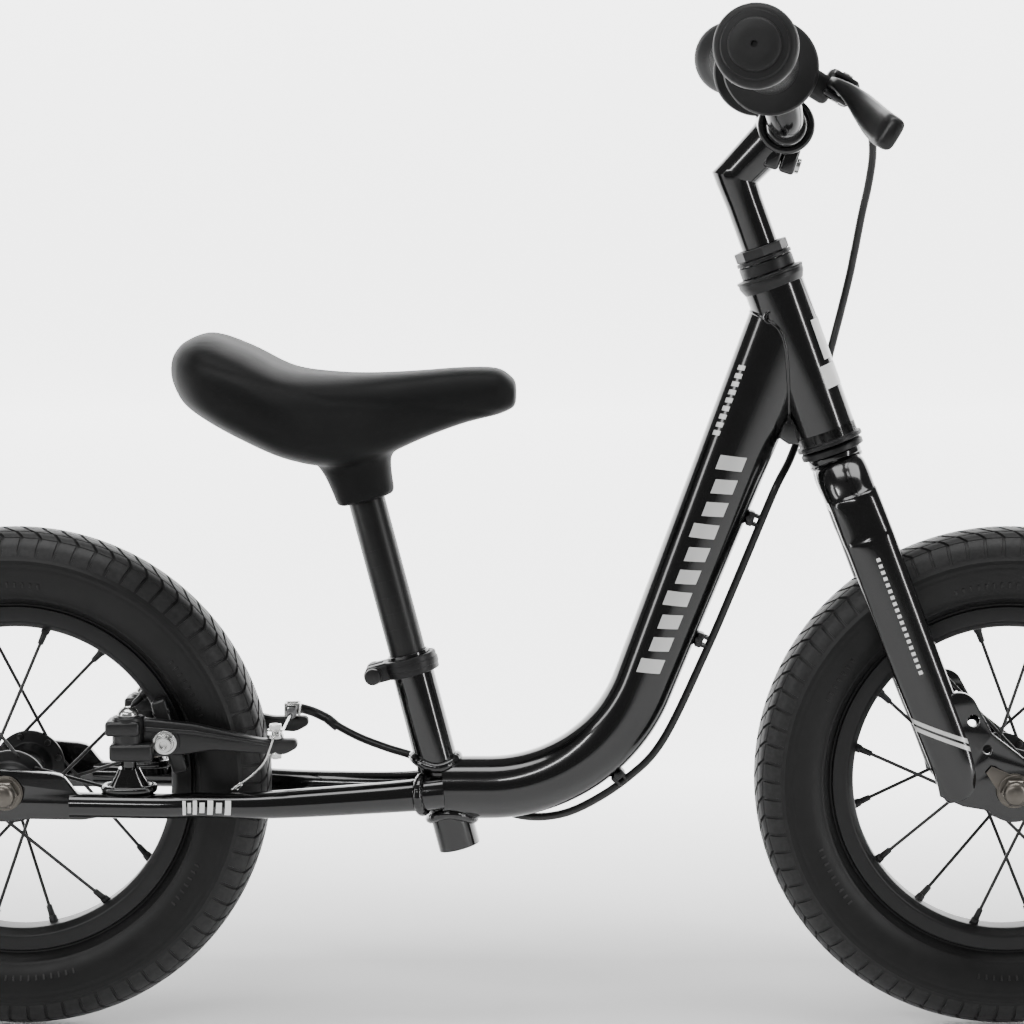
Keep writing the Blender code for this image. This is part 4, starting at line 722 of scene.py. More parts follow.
def add_stay(shape, side):
    rings = []
    for i in range(61):
        rings.append([stay_surface(side, i / 60, angle, 0.0) for angle in range(0, 360, 12)])
    shape.skin(rings).bored(on_seat_tube(-60), on_seat_tube(90), 11.5)
    x, z = REAR_AXLE.x, REAR_AXLE.z
    outline = arc(x, z - 2, 16, 100, 260, 24)
    outline += [(x + 12, z - 16), (x + 46, z - 16.5), (x + 74, z - 12), (x + 74, z - 7), (x + 42, z - 0.5)]
    outline += [(x + 34, z + 10), (x + 28, z + 11.5), (x + 10, z + 13)]
    shape.plate([softened(outline, 2.0), circle(x, z, 5.0)], 6.0, side * 48.3)


def add_seat_clamp(ring, bolts):
    low = SEAT_ABOVE - 13.0
    middle = low + 5.5
    profile = softened([(13.0, 0.0), (16.5, 0.0), (16.5, 11.0), (13.0, 11.0)], 1.2)
    ring.turned(profile, on_seat_tube(low), SEAT_UP)
    lip = softened([(16.0, 3.6), (17.0, 3.6), (17.0, 7.4), (16.0, 7.4)], 0.5)
    ring.turned(lip, on_seat_tube(low), SEAT_UP)
    turn = Matrix((SEAT_AHEAD, LEFTWARD, SEAT_UP)).transposed().to_4x4()
    for side in SIDES.values():
        ring.block(on_seat_tube(middle, -19.5, side * 5.5), (15, 9, 11), turn, edge=2.2)
        bolts.rod(on_seat_tube(middle, -23, side * 9.6), on_seat_tube(middle, -23, side * 11.2), 5.6, edge=0.4)
    bolts.rod(on_seat_tube(middle, -23, -16), on_seat_tube(middle, -23, -11.0), 5.0, edge=0.9)
    bolts.rod(on_seat_tube(middle, -23, 11.0), on_seat_tube(middle, -23, 14.5), 5.2, edge=0.5, steps=6)
    bolts.rod(on_seat_tube(middle, -23, -12), on_seat_tube(middle, -23, 15), 3.0)


class BIKE_OT_frame_tubes(bpy.types.Operator):
    """Make the painted frame: main tube, head tube, seat tube, stays, dropouts, brake posts and welds."""

    bl_idname = "bike.frame_tubes"
    bl_label = "Frame Tubes"

    def execute(self, context):
        weld = context.scene.bike_sizes.weld_width / MM
        marks = [MAIN_LENGTH * i / 110 for i in range(111)]
        sizes = [main_radii(mark) for mark in marks]
        main = Shape().tube([MAIN_ROUTE.at(mark)[0] for mark in marks], [tall for tall, _ in sizes], 64,
                            [wide for _, wide in sizes])
        main.bored(on_seat_tube(-60), on_seat_tube(90), 11.5)
        main.bored(on_steering(HEAD_BASE - 10), on_steering(HEAD_TOP + 10), 14.9)
        gusset = [on_steering(HEAD_BASE + 3, -15.5), on_steering(HEAD_BASE + 30, -15.5)]
        behind = MAIN_ROUTE.at(MAIN_LENGTH - 62)[0]
        outline = [(gusset[0].x, gusset[0].z), (gusset[1].x, gusset[1].z), (behind.x, behind.z),
                   (behind.x + 24, behind.z - 16)]
        main.plate([outline], 5.0, 0)
        main.close("painted_main_tube", "frame", "gloss black paint", ["down_tube"])
        head = Shape()
        bore = 14.7
        outline = softened([(bore, 0.0), (HEAD_RADIUS, 0.0), (HEAD_RADIUS, HEAD_LENGTH), (bore, HEAD_LENGTH)], 0.8)
        head.turned(outline, on_steering(HEAD_BASE), STEER_UP, 72)
        head.close("painted_head_tube", "frame", "gloss black paint", ["head_tube"])
        seat = Shape()
        outline = softened([(11.45, -SEAT_BELOW), (SEAT_RADIUS, -SEAT_BELOW), (SEAT_RADIUS, SEAT_ABOVE),
                            (11.45, SEAT_ABOVE)], 0.5)
        seat.turned(outline, on_seat_tube(0), SEAT_UP, 64)
        seat.close("painted_seat_tube", "frame", "gloss black paint", ["seat_tube"])
        for word, side in SIDES.items():
            stay = Shape()
            add_stay(stay, side)
            stay.close(f"painted_stay_{word}", "frame", "gloss black paint", [f"stay_{word}"])
            self.add_post(word, side)
        self.add_welds(weld)
        return {"FINISHED"}

    def add_post(self, word, side):
        """A brake arm's post on its gusset."""
        foot = Vector((BRAKE_PIVOT_X, side * 40.0, AXLE_HEIGHT - 6))
        post = Shape()
        post.rod(foot + 8 * UP, Vector((foot.x, foot.y, BRAKE_LEVEL + 14)), 4.5, edge=0.4)
        gusset = [(14.0, 0.0, 9.5), (13.0, 6.0, 9.0), (7.5, 16.0, 6.5), (6.2, 19.0, 6.0)]
        post.skin([[foot + UP * height + Vector((long * squared(a), wide * squared(a + math.pi / 2) * -1, 0))
                    for a in angles(24)] for long, height, wide in gusset])
        post.close(f"brake_post_{word}", "frame", "gloss black paint", [f"brake_boss_{word}"])

    def add_welds(self, width):
        beads = Shape()
        reach = MAIN_ROUTE.at(MAIN_LENGTH - 90)
        tall, wide = main_radii(MAIN_LENGTH - 40)
        loop = weld_loop(reach[0], reach[1], tall, wide, on_steering(0), STEER_UP, HEAD_RADIUS)
        add_weld(beads, loop, width * 0.36)
        for direction, start in ((-1, on_seat_tube(60)), (1, on_seat_tube(-SEAT_BELOW))):
            loop = weld_loop(start, SEAT_UP * direction, SEAT_RADIUS, SEAT_RADIUS, SEAT_FOOT, Vector((1, 0, 0)),
                             MAIN_RADIUS)
            add_weld(beads, loop, width)
        for side in SIDES.values():
            ring = [stay_surface(side, 0.075 + 0.02 * math.cos(math.radians(angle)), angle, 0.0)
                    for angle in range(0, 360, 6)]
            add_weld(beads, ring, width)
            foot = Vector((BRAKE_PIVOT_X, side * 40.0, AXLE_HEIGHT + 0.5))
            add_weld(beads, [foot + Vector((14.2 * squared(a), 9.7 * squared(a - math.pi / 2), 0))
                             for a in angles(60)], width * 0.8)
        beads.bored(on_seat_tube(-60), on_seat_tube(90), 11.5)
        beads.close("frame_welds", "frame", "gloss black paint", angle=60.0)


def squared(angle):
    """A cosine pushed towards a square."""
    return math.copysign(abs(math.cos(angle)) ** 0.7, math.cos(angle))


class BIKE_OT_frame_fittings(bpy.types.Operator):
    """Make the seat clamp, head bearings, cable clips and rear axle nuts."""

    bl_idname = "bike.frame_fittings"
    bl_label = "Frame Fittings"

    def execute(self, context):
        ring, bolts = Shape(), Shape()
        add_seat_clamp(ring, bolts)
        ring.close("seat_collar", "frame", "satin black alloy", ["seat_clamp"])
        bolts.close("seat_collar_bolt", "frame", "brake plastic", ["seat_clamp_bolt"])
        cup = Shape()
        profile = [(13.2, 10.0), (13.2, 0.0), (20.2, 0.0), (20.2, 2.6), (18.2, 2.6), (18.2, 10.0)]
        cup.turned(softened(profile, 0.7), on_steering(HEAD_BASE - 2.8), STEER_UP, 72)
        cup.close("lower_bearing_cup", "frame", "satin black alloy", ["lower_cup"])
        cup = Shape()
        profile = [(13.2, -2.0), (18.2, -2.0), (20.2, 2.8), (20.2, 5.2), (17.8, 7.5), (13.2, 7.5)]
        cup.turned(softened(profile, 0.8), on_steering(HEAD_TOP + 0.3), STEER_UP, 72)
        lip = softened([(13.2, 6.6), (20.6, 6.6), (20.6, 8.2), (13.2, 8.2)], 0.4)
        cup.turned(lip, on_steering(HEAD_TOP - 1.0), STEER_UP, 72)
        cup.close("upper_bearing_cup", "frame", "satin black alloy", ["upper_cup"])
        self.add_clips()
        for word, side in SIDES.items():
            nut = Shape()
            face = REAR_AXLE + LEFTWARD * side * 51.6
            add_axle_nut(nut, face, side, 180, 22.0)
            nut.close(f"rear_axle_nut_{word}", "frame", "dark steel", [f"rear_nut_{word}"])
        axle = Shape().rod(REAR_AXLE - LEFTWARD * 58, REAR_AXLE + LEFTWARD * 58, 4.75)
        for side in SIDES.values():
            axle.rod(REAR_AXLE + LEFTWARD * side * 43.3, REAR_AXLE + LEFTWARD * side * 45.2, 8.5, edge=0.3)
        axle.close("rear_threaded_axle", "frame", "dark steel", ["rear_axle"])
        return {"FINISHED"}

    def add_clips(self):
        for number, node in enumerate(("cable_clip_1", "cable_clip_2", "cable_clip_3"), start=1):
            middle = box_middle(node)
            mark = min(range(0, int(MAIN_LENGTH), 2), key=lambda m: (MAIN_ROUTE.at(m)[0] - middle).length)
            place, along = MAIN_ROUTE.at(mark)
            outside = Vector((along.z, 0, -along.x))
            tall, _ = main_radii(mark)
            turn = Matrix((along, LEFTWARD, outside)).transposed().to_4x4()
            clip = Shape()
            clip.block(place + outside * (tall + 2.2), (9.0, 11.5, 4.4), turn, edge=1.3)
            hoop = [place + outside * (tall + 3.7 + 4.1 * math.sin(a)) + LEFTWARD * 4.1 * math.cos(a)
                    for a in angles(28)]
            for shift in (-2.6, 2.6):
                clip.tube([point + along * shift for point in hoop], 1.1, steps=10, looped=True)
            clip.rod(place + outside * (tall + 1.0) - LEFTWARD * 6.4, place + outside * (tall + 1.0) - LEFTWARD * 3.0,
                     1.7, edge=0.4, steps=18)
            clip.close(f"housing_clip_{number}", "frame", "brake plastic", [node])


def add_axle_nut(shape, face, side, tab_angle, tab_reach):
    """A domed hexagon nut with a flange, on a washer whose tab points at an angle in the wheel's plane."""
    axis = LEFTWARD * side
    washer = arc(face.x, face.z, 10.5, tab_angle + 35, tab_angle + 325, 28)
    reach = Vector((math.cos(math.radians(tab_angle)), math.sin(math.radians(tab_angle))))
    beside = Vector((-reach.y, reach.x))
    for across in (-2.6, 2.6):
        corner = reach * tab_reach + beside * across
        washer.append((face.x + corner.x, face.z + corner.y))
    shape.plate([washer], 1.6, face.y + side * 0.9, edge=0.3)
    shape.turned(softened([(0, 1.6), (10.0, 1.6), (10.0, 3.4), (0, 3.4)], 0.6), face, axis, 48)
    hexagon = []
    for height, radius in ((3.2, 8.2), (3.4, 8.8), (8.6, 8.8), (9.4, 8.0)):
        hexagon.append([face + axis * height + Vector((radius * math.cos(a), 0, radius * math.sin(a)))
                        for a in angles(6)])
    shape.skin(hexagon)
    dome = [(0.0, 8.8), (7.4, 8.8), (7.3, 10.4), (6.3, 12.0), (4.4, 13.1), (2.0, 13.4), (0.0, 13.5)]
    shape.turned(dome, face, axis, 48)


# Wheels.

BEAD = 101.5
RIM_OUTER = 106.0
RIM_INNER = 93.0
TYRE_MIDDLE = 127.5
TYRE_HALF = 25.0
SPOKES = 16
SPOKE_SWEEP = math.radians(50)


def crown_radius(across):
    """Radius of the tread's outer surface at a distance from the centre plane."""
    share = min(1.0, abs(across) / TYRE_HALF)
    return TYRE_MIDDLE + (TYRE_RADIUS - TYRE_MIDDLE) * (1 - share ** 2.3) ** (1 / 2.3)


def casing_profile(depth):
    """The tyre's section under its tread, with ridges on the side wall."""
    half = []
    edge = 23.0
    for i in range(15):
        across = edge * i / 14
        half.append((crown_radius(across) - depth, across))
    for i in range(1, 46):
        radius = TYRE_MIDDLE + 9.0 * (1 - i / 45) - 20.0 * math.sin(math.pi / 2 * i / 45)
        across = 11.5 + 13.3 * math.cos(math.pi / 2 * (i / 45) ** 1.25)
        ridge = 0.5 * math.exp(-((radius - 133.5) / 0.55) ** 2) + 0.45 * math.exp(-((radius - 111.8) / 0.6) ** 2)
        ridge += 0.25 * math.exp(-((radius - 129.8) / 0.4) ** 2)
        half.append((radius, min(TYRE_HALF, across + ridge)))
    inner = [(BEAD + 0.4, 9.5), (BEAD + 3.0, 7.0)]
    side = half + inner
    return side + [(radius, -across) for radius, across in reversed(side[1:])]


def add_tread_block(shape, axle, rows, depth):
    """One block: rows of (distance across, start angle, end angle), its top drawn in from its foot."""
    rings = []
    last = len(rows) - 1
    for i, (across, start, end) in enumerate(rows):
        top = crown_radius(across)
        inset = 0.25 / top
        draw = 0.0 if 0 < i < last else 0.3 * (1 if across > rows[0][0] else -1)
        foot = top - depth - 0.4
        ring = []
        for radius, angle, shift in ((foot, start, 0.0), (top, start + inset, draw), (top, end - inset, draw),
                                     (foot, end, 0.0)):
            ring.append(axle + Vector((radius * math.cos(angle), across - shift, radius * math.sin(angle))))
        rings.append(ring)
    shape.skin(rings)


def add_tread(shape, axle, count, depth):
    """Shoulder bricks, two rows of slanted blocks and a crown, with narrow grooves between."""
    pitch = 2 * math.pi / count
    for k in range(count):
        for side in SIDES.values():
            base = pitch * (k + (0.5 if side > 0 else 0.0))
            for rows, wide, low in ((((16.4, 0.0), (18.6, 0.02), (21.2, 0.05), (23.4, 0.08)), 0.86, depth),
                                    (((10.6, 0.35), (12.4, 0.22), (14.0, 0.1), (15.7, 0.0)), 0.84, depth),
                                    (((4.6, 1.0), (6.4, 0.84), (8.2, 0.66), (9.9, 0.5)), 0.83, depth)):
                block = [(side * across, base + pitch * lean, base + pitch * (lean + wide)) for across, lean in rows]
                add_tread_block(shape, axle, block, low)
        crown = [(across, pitch * (k + 0.1 + lean), pitch * (k + 0.92 + lean))
                 for across, lean in ((-3.9, -0.12), (-1.3, 0.0), (1.3, 0.12), (3.9, 0.24))]
        add_tread_block(shape, axle, crown, depth)


def add_sidewall_ribs(shape, axle):
    """Short raised ribs on the side walls, in plain groups."""
    for side in SIDES.values():
        for start, number in ((200, 9), (262, 12), (322, 7), (20, 9), (82, 12), (142, 7)):
            for k in range(number):
                angle = math.radians(start + k * 2.2)
                out = Vector((math.cos(angle), 0, math.sin(angle)))
                along = Vector((-out.z, 0, out.x))
                rings = []
                for radius, across in ((117.0, 20.6), (119.5, 22.3), (122.0, 23.5)):
                    middle = axle + out * radius + LEFTWARD * side * across
                    low, high = -LEFTWARD * side, LEFTWARD * side * 0.55
                    rings.append([middle - along * 0.8 + low, middle - along * 0.5 + high,
                                  middle + along * 0.5 + high, middle + along * 0.8 + low])
                shape.skin(rings)


def spoke_ends(axle, index, flange):
    side = -1.0 if index % 2 else 1.0
    rim_angle = 2 * math.pi * (index + 0.5) / SPOKES
    lead = 1.0 if (index // 2) % 2 else -1.0
    hub_angle = rim_angle + lead * SPOKE_SWEEP
    hub_end = axle + Vector((19 * math.cos(hub_angle), side * flange, 19 * math.sin(hub_angle)))
    rim_end = axle + Vector((RIM_INNER * math.cos(rim_angle), side * 2.5, RIM_INNER * math.sin(rim_angle)))
    return hub_end, rim_end, side


def add_valve(shape, axle, angle):
    """The inner tube's valve stem, pointing at the hub."""
    out = Vector((math.cos(angle), 0, math.sin(angle)))
    shape.rod(axle + out * (RIM_INNER + 2), axle + out * (RIM_INNER - 13), 3.6, 2.9, edge=0.4, steps=24)
    shape.rod(axle + out * (RIM_INNER - 12), axle + out * (RIM_INNER - 22), 3.9, edge=0.8, steps=24)


class BIKE_OT_wheels(bpy.types.Operator):
    """Make both wheels: tyres with tread blocks, rims, spokes, nipples, valves and hub shells."""

    bl_idname = "bike.wheels"
    bl_label = "Wheels"

    def execute(self, context):
        sizes = context.scene.bike_sizes
        depth = sizes.tread_depth / MM
        for word, axle, flange, valve in (("front", FRONT_AXLE, 26.0, 0.0), ("rear", REAR_AXLE, 32.0, math.pi)):
            body = f"{word}_wheel"
            tyre = Shape().turned(casing_profile(depth), axle, LEFTWARD, 180)
            add_tread(tyre, axle, sizes.tread_count, depth)
            add_sidewall_ribs(tyre, axle)
            tyre.close(f"{word}_treaded_tyre", body, "tyre rubber", [f"{word}_tyre"], 28.0)
            rim = Shape()
            profile = [(RIM_OUTER, -10.9), (RIM_OUTER, -12.5), (RIM_INNER + 4.0, -12.5), (RIM_INNER, -7.5),
                       (RIM_INNER, 7.5), (RIM_INNER + 4.0, 12.5), (RIM_OUTER, 12.5), (RIM_OUTER, 10.9),
                       (BEAD, 10.7), (BEAD, -10.7)]
            rim.turned(softened(profile, 1.3), axle, LEFTWARD, 180)
            rim.close(f"{word}_alloy_rim", body, "satin black alloy", [f"{word}_rim"])
            self.add_hub(word, axle, flange, body)
            self.add_spokes(word, axle, flange, body, sizes.spoke_width / MM / 2)
            stem = Shape()
            add_valve(stem, axle, valve)
            stem.close(f"{word}_valve", body, "brake plastic")
        return {"FINISHED"}

    def add_hub(self, word, axle, flange, body):
        end = flange + 11.0
        half = [(9.5, end), (13.5, flange + 6), (15.5, flange + 2.0), (22.0, flange + 1.6), (22.0, flange - 1.6),
                (14.5, flange - 2.2), (10.5, flange - 9)]
        profile = half + [(radius, -height) for radius, height in reversed(half)] + [(5.2, -end), (5.2, end)]
        hub = Shape().turned(softened(profile, 1.0), axle, LEFTWARD, 96)
        hub.close(f"{word}_hub_shell", body, "satin black alloy", [f"{word}_hub"])

    def add_spokes(self, word, axle, flange, body, radius):
        spokes, nipples = Shape(), Shape()
        for index in range(SPOKES):
            hub_end, rim_end, side = spoke_ends(axle, index, flange)
            along = (rim_end - hub_end).normalized()
            elbow = hub_end + LEFTWARD * side * 2.4
            spokes.tube(rounded([hub_end - LEFTWARD * side * 2.6, elbow, elbow + along * 6, rim_end], 2.4, 5),
                        radius, steps=12)
            spokes.rod(hub_end - LEFTWARD * side * 3.3, hub_end - LEFTWARD * side * 2.4, 2.0, edge=0.3, steps=16)
            nipples.rod(rim_end + along * 1.5, rim_end - along * 3.4, 2.9, 2.6, edge=0.4, steps=16)
            nipples.rod(rim_end - along * 3.0, rim_end - along * 10.5, 2.1, 1.8, edge=0.4, steps=16)
        spokes.close(f"{word}_spokes", body, "black spoke steel")
        nipples.close(f"{word}_nipples", body, "satin black alloy")


# Fork.


def blade_stations():
    """Along the steering axis, ahead of it, spread, half depth and half thickness."""
    shoulder = AXLE_HEIGHT + 34.0
    return [(CROWN_TOP - 3, 0.0, 8.0, 8.0, 7.0), (CROWN_TOP - 4.5, 0.0, 9.5, 12.0, 10.0),
            (CROWN_TOP - 8, 0.0, 12.0, 15.0, 12.0), (CROWN_TOP - 15, 0.0, 17.0, 16.0, 13.0),
            (CROWN_TOP - 25, 0.3, 24.5, 15.6, 12.0), ((CROWN_TOP - 4 + shoulder) / 2 - 6, 0.8, 32.0, 15.3, 9.6),
            (shoulder - 12, 1.2, 37.5, 15.3, 8.4), (shoulder - 26, 1.6, 40.0, 15.0, 8.0),
            (AXLE_HEIGHT * 0.6, 2.6, 40.0, 15.0, 8.0), (38.5, 4.0, 40.0, 14.4, 7.8), (20.0, 3.6, 40.0, 13.6, 7.5),
            (10.0, 2.4, 40.0, 11.6, 6.6), (5.5, 1.2, 40.0, 8.6, 5.2), (4.6, 0.8, 40.0, 6.0, 3.6)]


def blade_surface(side, station, angle, lift):
    """A place on a blade: a station is a row of numbers, and angle 90 looks outwards."""
    along, ahead, spread, deep, wide = station
    turn = math.radians(angle)
    return (on_steering(along, ahead, side * spread) + STEER_AHEAD * (deep + lift) * math.cos(turn)
            + LEFTWARD * side * (wide + lift) * math.sin(turn))


def add_blade_stripe(shape, side, start, width, drop):
    """A sticker across a blade's outer face, sloping down towards the front."""
    rings = []
    for i in range(25):
        angle = 172 - 158 * i / 24
        slope = drop * (math.cos(math.radians(angle)) + 1) / 2
        curl = 5.0 * max(0.0, (38 - angle) / 38) ** 2
        ring = []
        for along, lift in ((0, -0.4), (0, 0.25), (width, 0.25), (width, -0.4)):
            height = start - slope - curl - along
            station = interpolated_station(height)
            ring.append(blade_surface(side, station, angle, lift))
        rings.append(ring)
    shape.skin(rings)


def interpolated_station(height):
    rows = blade_stations()
    for high, low in zip(rows, rows[1:]):
        if high[0] >= height >= low[0]:
            share = (height - high[0]) / (low[0] - high[0])
            return [a + (b - a) * share for a, b in zip(high, low)]
    return rows[-1] if height < rows[-1][0] else rows[0]


class BIKE_OT_fork(bpy.types.Operator):
    """Make the fork: steerer, blades, dropout plates, bearing rings and front axle nuts."""

    bl_idname = "bike.fork"
    bl_label = "Fork"

    def execute(self, context):
        steerer = Shape()
        profile = [(12.7, 353.5), (12.7, CROWN_TOP - 0.3), (16.4, CROWN_TOP - 0.3), (16.4, CROWN_TOP - 4),
                   (15.0, CROWN_TOP - 6), (15.0, CROWN_TOP - 30), (13.7, CROWN_TOP - 34), (11.4, CROWN_TOP - 34),
                   (11.4, 353.5)]
        steerer.turned(softened(profile, 1.2), on_steering(0), STEER_UP, 72)
        steerer.close("painted_steerer", "fork", "gloss black paint", ["fork_steerer"])
        for word, side in SIDES.items():
            blade = Shape()
            rows = spline_through(blade_stations(), 8)
            blade.skin([[blade_surface(side, row, angle, 0.0) for angle in range(0, 360, 8)] for row in rows])
            blade.close(f"painted_blade_{word}", "fork", "gloss black paint", [f"fork_blade_{word}"])
            self.add_plate(word, side)
            nut = Shape()
            add_axle_nut(nut, FRONT_AXLE + LEFTWARD * side * 44.8, side, 140, 20.0)
            nut.close(f"front_axle_nut_{word}", "fork", "dark steel", [f"front_nut_{word}"])
        axle = Shape().rod(FRONT_AXLE - LEFTWARD * 52, FRONT_AXLE + LEFTWARD * 52, 4.75)
        for side in SIDES.values():
            axle.rod(FRONT_AXLE + LEFTWARD * side * 37.3, FRONT_AXLE + LEFTWARD * side * 39.4, 8.5, edge=0.3)
        axle.close("front_threaded_axle", "fork", "dark steel", ["front_axle"])
        self.add_rings()
        self.add_crown_welds(context.scene.bike_sizes.weld_width / MM)
        return {"FINISHED"}

    def add_plate(self, word, side):
        x, z = FRONT_AXLE.x, FRONT_AXLE.z
        outline = [(x - 52, z + 34), (x - 46, z + 52)] + arc(x - 33.5, z + 47, 12.0, 110, 38, 12)
        outline += [(x - 13, z + 34)] + arc(x, z, 19.5, 38, -140, 30) + [(x - 30, z - 10), (x - 44, z - 4)]
        holes = [circle(x, z, 5.0), circle(x - 24.5, z + 42, 3.6), circle(x - 16, z + 24.5, 2.7),
                 circle(x - 12, z + 12.5, 1.6, 24)]
        plate = Shape().plate([outline] + holes, 5.0, side * 42.0, edge=0.9)
        plate.close(f"dropout_plate_{word}", "fork", "gloss black paint", [f"fork_dropout_{word}"])

    def add_rings(self):
        race = [(13.0, 0.0), (19.2, 0.0), (19.2, 3.0), (17.2, 4.7), (13.0, 4.7)]
        ring = Shape().turned(softened(race, 0.6), on_steering(CROWN_TOP), STEER_UP, 72)
        ring.close("crown_bearing_race", "fork", "satin black alloy", ["crown_race"])
        race = [(13.0, 0.0), (16.7, 0.0), (16.7, 5.0), (16.5, 7.0), (13.0, 7.0)]
        ring = Shape().turned(softened(race, 0.6), on_steering(HEAD_TOP + 8.1), STEER_UP, 72)
        ring.close("top_bearing_race", "fork", "satin black alloy", ["adjusting_race"])
        low = HEAD_TOP + 15.7
        nut = Shape()
        for foot, top, radius, edge, steps in ((0.0, 2.2, 17.0, 0.5, 72), (2.6, 8.7, 16.4, 0.9, 8),
                                               (2.0, 8.3, 15.0, 0.4, 64)):
            outline = softened([(13.0, foot), (radius, foot), (radius, top), (13.0, top)], edge)
            nut.turned(outline, on_steering(low), STEER_UP, steps)
        nut.close("headset_top_nut", "fork", "satin black alloy", ["headset_locknut"])

    def add_crown_welds(self, width):
        beads = Shape()
        ring = [on_steering(CROWN_TOP - 5.5, 15.0 * math.cos(a), 15.0 * math.sin(a)) for a in angles(72)]
        add_weld(beads, ring, width * 0.5)
        beads.close("fork_welds", "fork", "gloss black paint", angle=60.0)


# Stem, handlebar, grips and lever.


def grip_line(side):
    inner = BAR_CENTRE + Vector((-8.6, side * 50.0, 30.2))
    end = BAR_CENTRE + Vector((-26.5, side * 182.0, 43.6))
    return inner, (end - inner).normalized(), (end - inner).length


def mitred(places, radii, count=48):
    """Rings of a round tube that meets itself in a mitre at each corner."""
    rings = []
    for i, place in enumerate(places):
        into = (place - places[i - 1]).normalized() if i else (places[1] - places[0]).normalized()
        out = (places[i + 1] - place).normalized() if i + 1 < len(places) else into
        along = (into + out).normalized()
        deep = LEFTWARD.cross(along).normalized()
        stretch = 1 / max(0.5, along.dot(into))
        rings.append([place + LEFTWARD * radii[i] * math.cos(a) + deep * radii[i] * stretch * math.sin(a)
                      for a in angles(count)])
    return rings


STEM_ANGLE = math.radians(46.2)
STEM_DIRECTION = Vector((math.cos(STEM_ANGLE), 0, math.sin(STEM_ANGLE)))
GRIP_START = 25.5
GRIP_END = 112.0


class BIKE_OT_cockpit(bpy.types.Operator):
    """Make the stem, its bolts, the handlebar and both grips."""

    bl_idname = "bike.cockpit"
    bl_label = "Stem, Bar and Grips"

    def execute(self, context):
        stem = Shape()
        corner = on_steering(STEM_ELBOW)
        places = [on_steering(STEM_ELBOW - 88), on_steering(STEM_ELBOW - 16), on_steering(STEM_ELBOW - 0.8), corner,
                  corner + STEM_DIRECTION * 0.8, BAR_CENTRE - STEM_DIRECTION * 4]
        stem.skin(mitred(places, [11.1, 11.1, 12.0, 12.05, 12.1, 13.6]))
        barrel = softened([(12.6, -20.0), (17.0, -20.0), (17.0, 20.0), (12.6, 20.0)], 1.8)
        stem.turned(barrel, BAR_CENTRE, LEFTWARD, 72)
        lean = Matrix.Rotation(math.radians(18), 4, "Y")
        for ahead in (-4.9, 4.9):
            stem.block(BAR_CENTRE + lean @ Vector((4 + ahead, 0, -18.5)), (9.2, 24, 17), lean, edge=2.0)
        stem.close("painted_stem", "bar", "gloss black paint", ["stem"])
        bolt = Shape()
        level = -20.5
        lean = Matrix.Rotation(math.radians(18), 4, "Y")
        bolt.rod(BAR_CENTRE + lean @ Vector((-7, 0, level)), BAR_CENTRE + lean @ Vector((14, 0, level)), 3.0)
        bolt.turned(socket_head(4.75, 4.0, 2.2), BAR_CENTRE + lean @ Vector((12.4, 0, level)),
                    lean @ Vector((1, 0, 0)), 40)
        bolt.rod(BAR_CENTRE + lean @ Vector((-7.4, 0, level)), BAR_CENTRE + lean @ Vector((-5.0, 0, level)), 5.2)
        bolt.close("stem_pinch_bolt", "bar", "bright steel", ["stem_clamp_bolt"])
        inside = Shape().turned(socket_head(5.5, 9.0, 3.0), on_steering(STEM_ELBOW - 10), STEER_UP, 40)
        inside.rod(on_steering(STEM_ELBOW - 100), on_steering(STEM_ELBOW - 9), 4.0)
        inside.close("stem_expander", "bar", "satin black alloy", ["expander_bolt"])
        wedge = Shape().rod(on_steering(STEM_ELBOW - 104), on_steering(STEM_ELBOW - 88), 10.9)
        wedge.close("stem_wedge_foot", "bar", "dark steel", ["stem_wedge"])
        self.add_bar()
        for word, side in SIDES.items():
            self.add_grip(word, side, context.scene.bike_sizes.grip_rib / MM)
        return {"FINISHED"}

    def add_bar(self):
        halves = []
        for side in (-1.0, 1.0):
            inner, along, length = grip_line(side)
            corners = [BAR_CENTRE, BAR_CENTRE + side * 25 * LEFTWARD, inner, inner + along * length]
            halves.append(rounded(corners, 14.0))
        bar = Shape().tube(halves[0][::-1] + halves[1][1:], 11.1, 48)
        sleeve = [(0, -27), (11.2, -27), (12.7, -22), (12.7, 22), (11.2, 27), (0, 27)]
        bar.turned(softened(sleeve, 1.0), BAR_CENTRE, LEFTWARD, 64)
        bar.close("painted_handlebar", "bar", "gloss black paint", ["handlebar"])

    def add_grip(self, word, side, rib):
        """A grip with an inner flange, a ribbed waist and a fat end with a raised disc."""
        inner, along, _ = grip_line(side)
        outline = [(0.0, GRIP_END - 2.0), (1.9, GRIP_END - 2.0), (1.9, GRIP_END - 0.1), (8.0, GRIP_END),
                   (13.4, GRIP_END - 0.4), (14.6, GRIP_END - 1.4), (14.9, GRIP_END - 3.0), (18.4, GRIP_END - 3.6),
                   (19.4, GRIP_END - 5.2), (20.6, GRIP_END - 5.4), (22.4, GRIP_END - 6.8), (23.4, GRIP_END - 9.4),
                   (23.5, GRIP_END - 12.5), (22.2, GRIP_END - 16.5), (19.0, GRIP_END - 20.5), (16.9, GRIP_END - 24.0)]
        height = GRIP_END - 26.0
        while height > 13.0:
            outline += [(16.0, height), (16.0 + rib, height - 0.8), (16.0 + rib, height - 2.2), (16.0, height - 3.0)]
            height -= 4.4
        outline += [(16.2, 9.0), (21.0, 6.6), (26.6, 5.6), (27.6, 4.2), (27.6, 1.4), (26.8, 0.2), (11.4, 0.0),
                    (11.4, GRIP_END - 6.0), (0.0, GRIP_END - 6.0)]
        grip = Shape().turned(outline, inner + along * GRIP_START, along, 96)
        grip.close(f"ribbed_grip_{word}", "bar", "grip rubber", [f"grip_{word}"], 40.0)


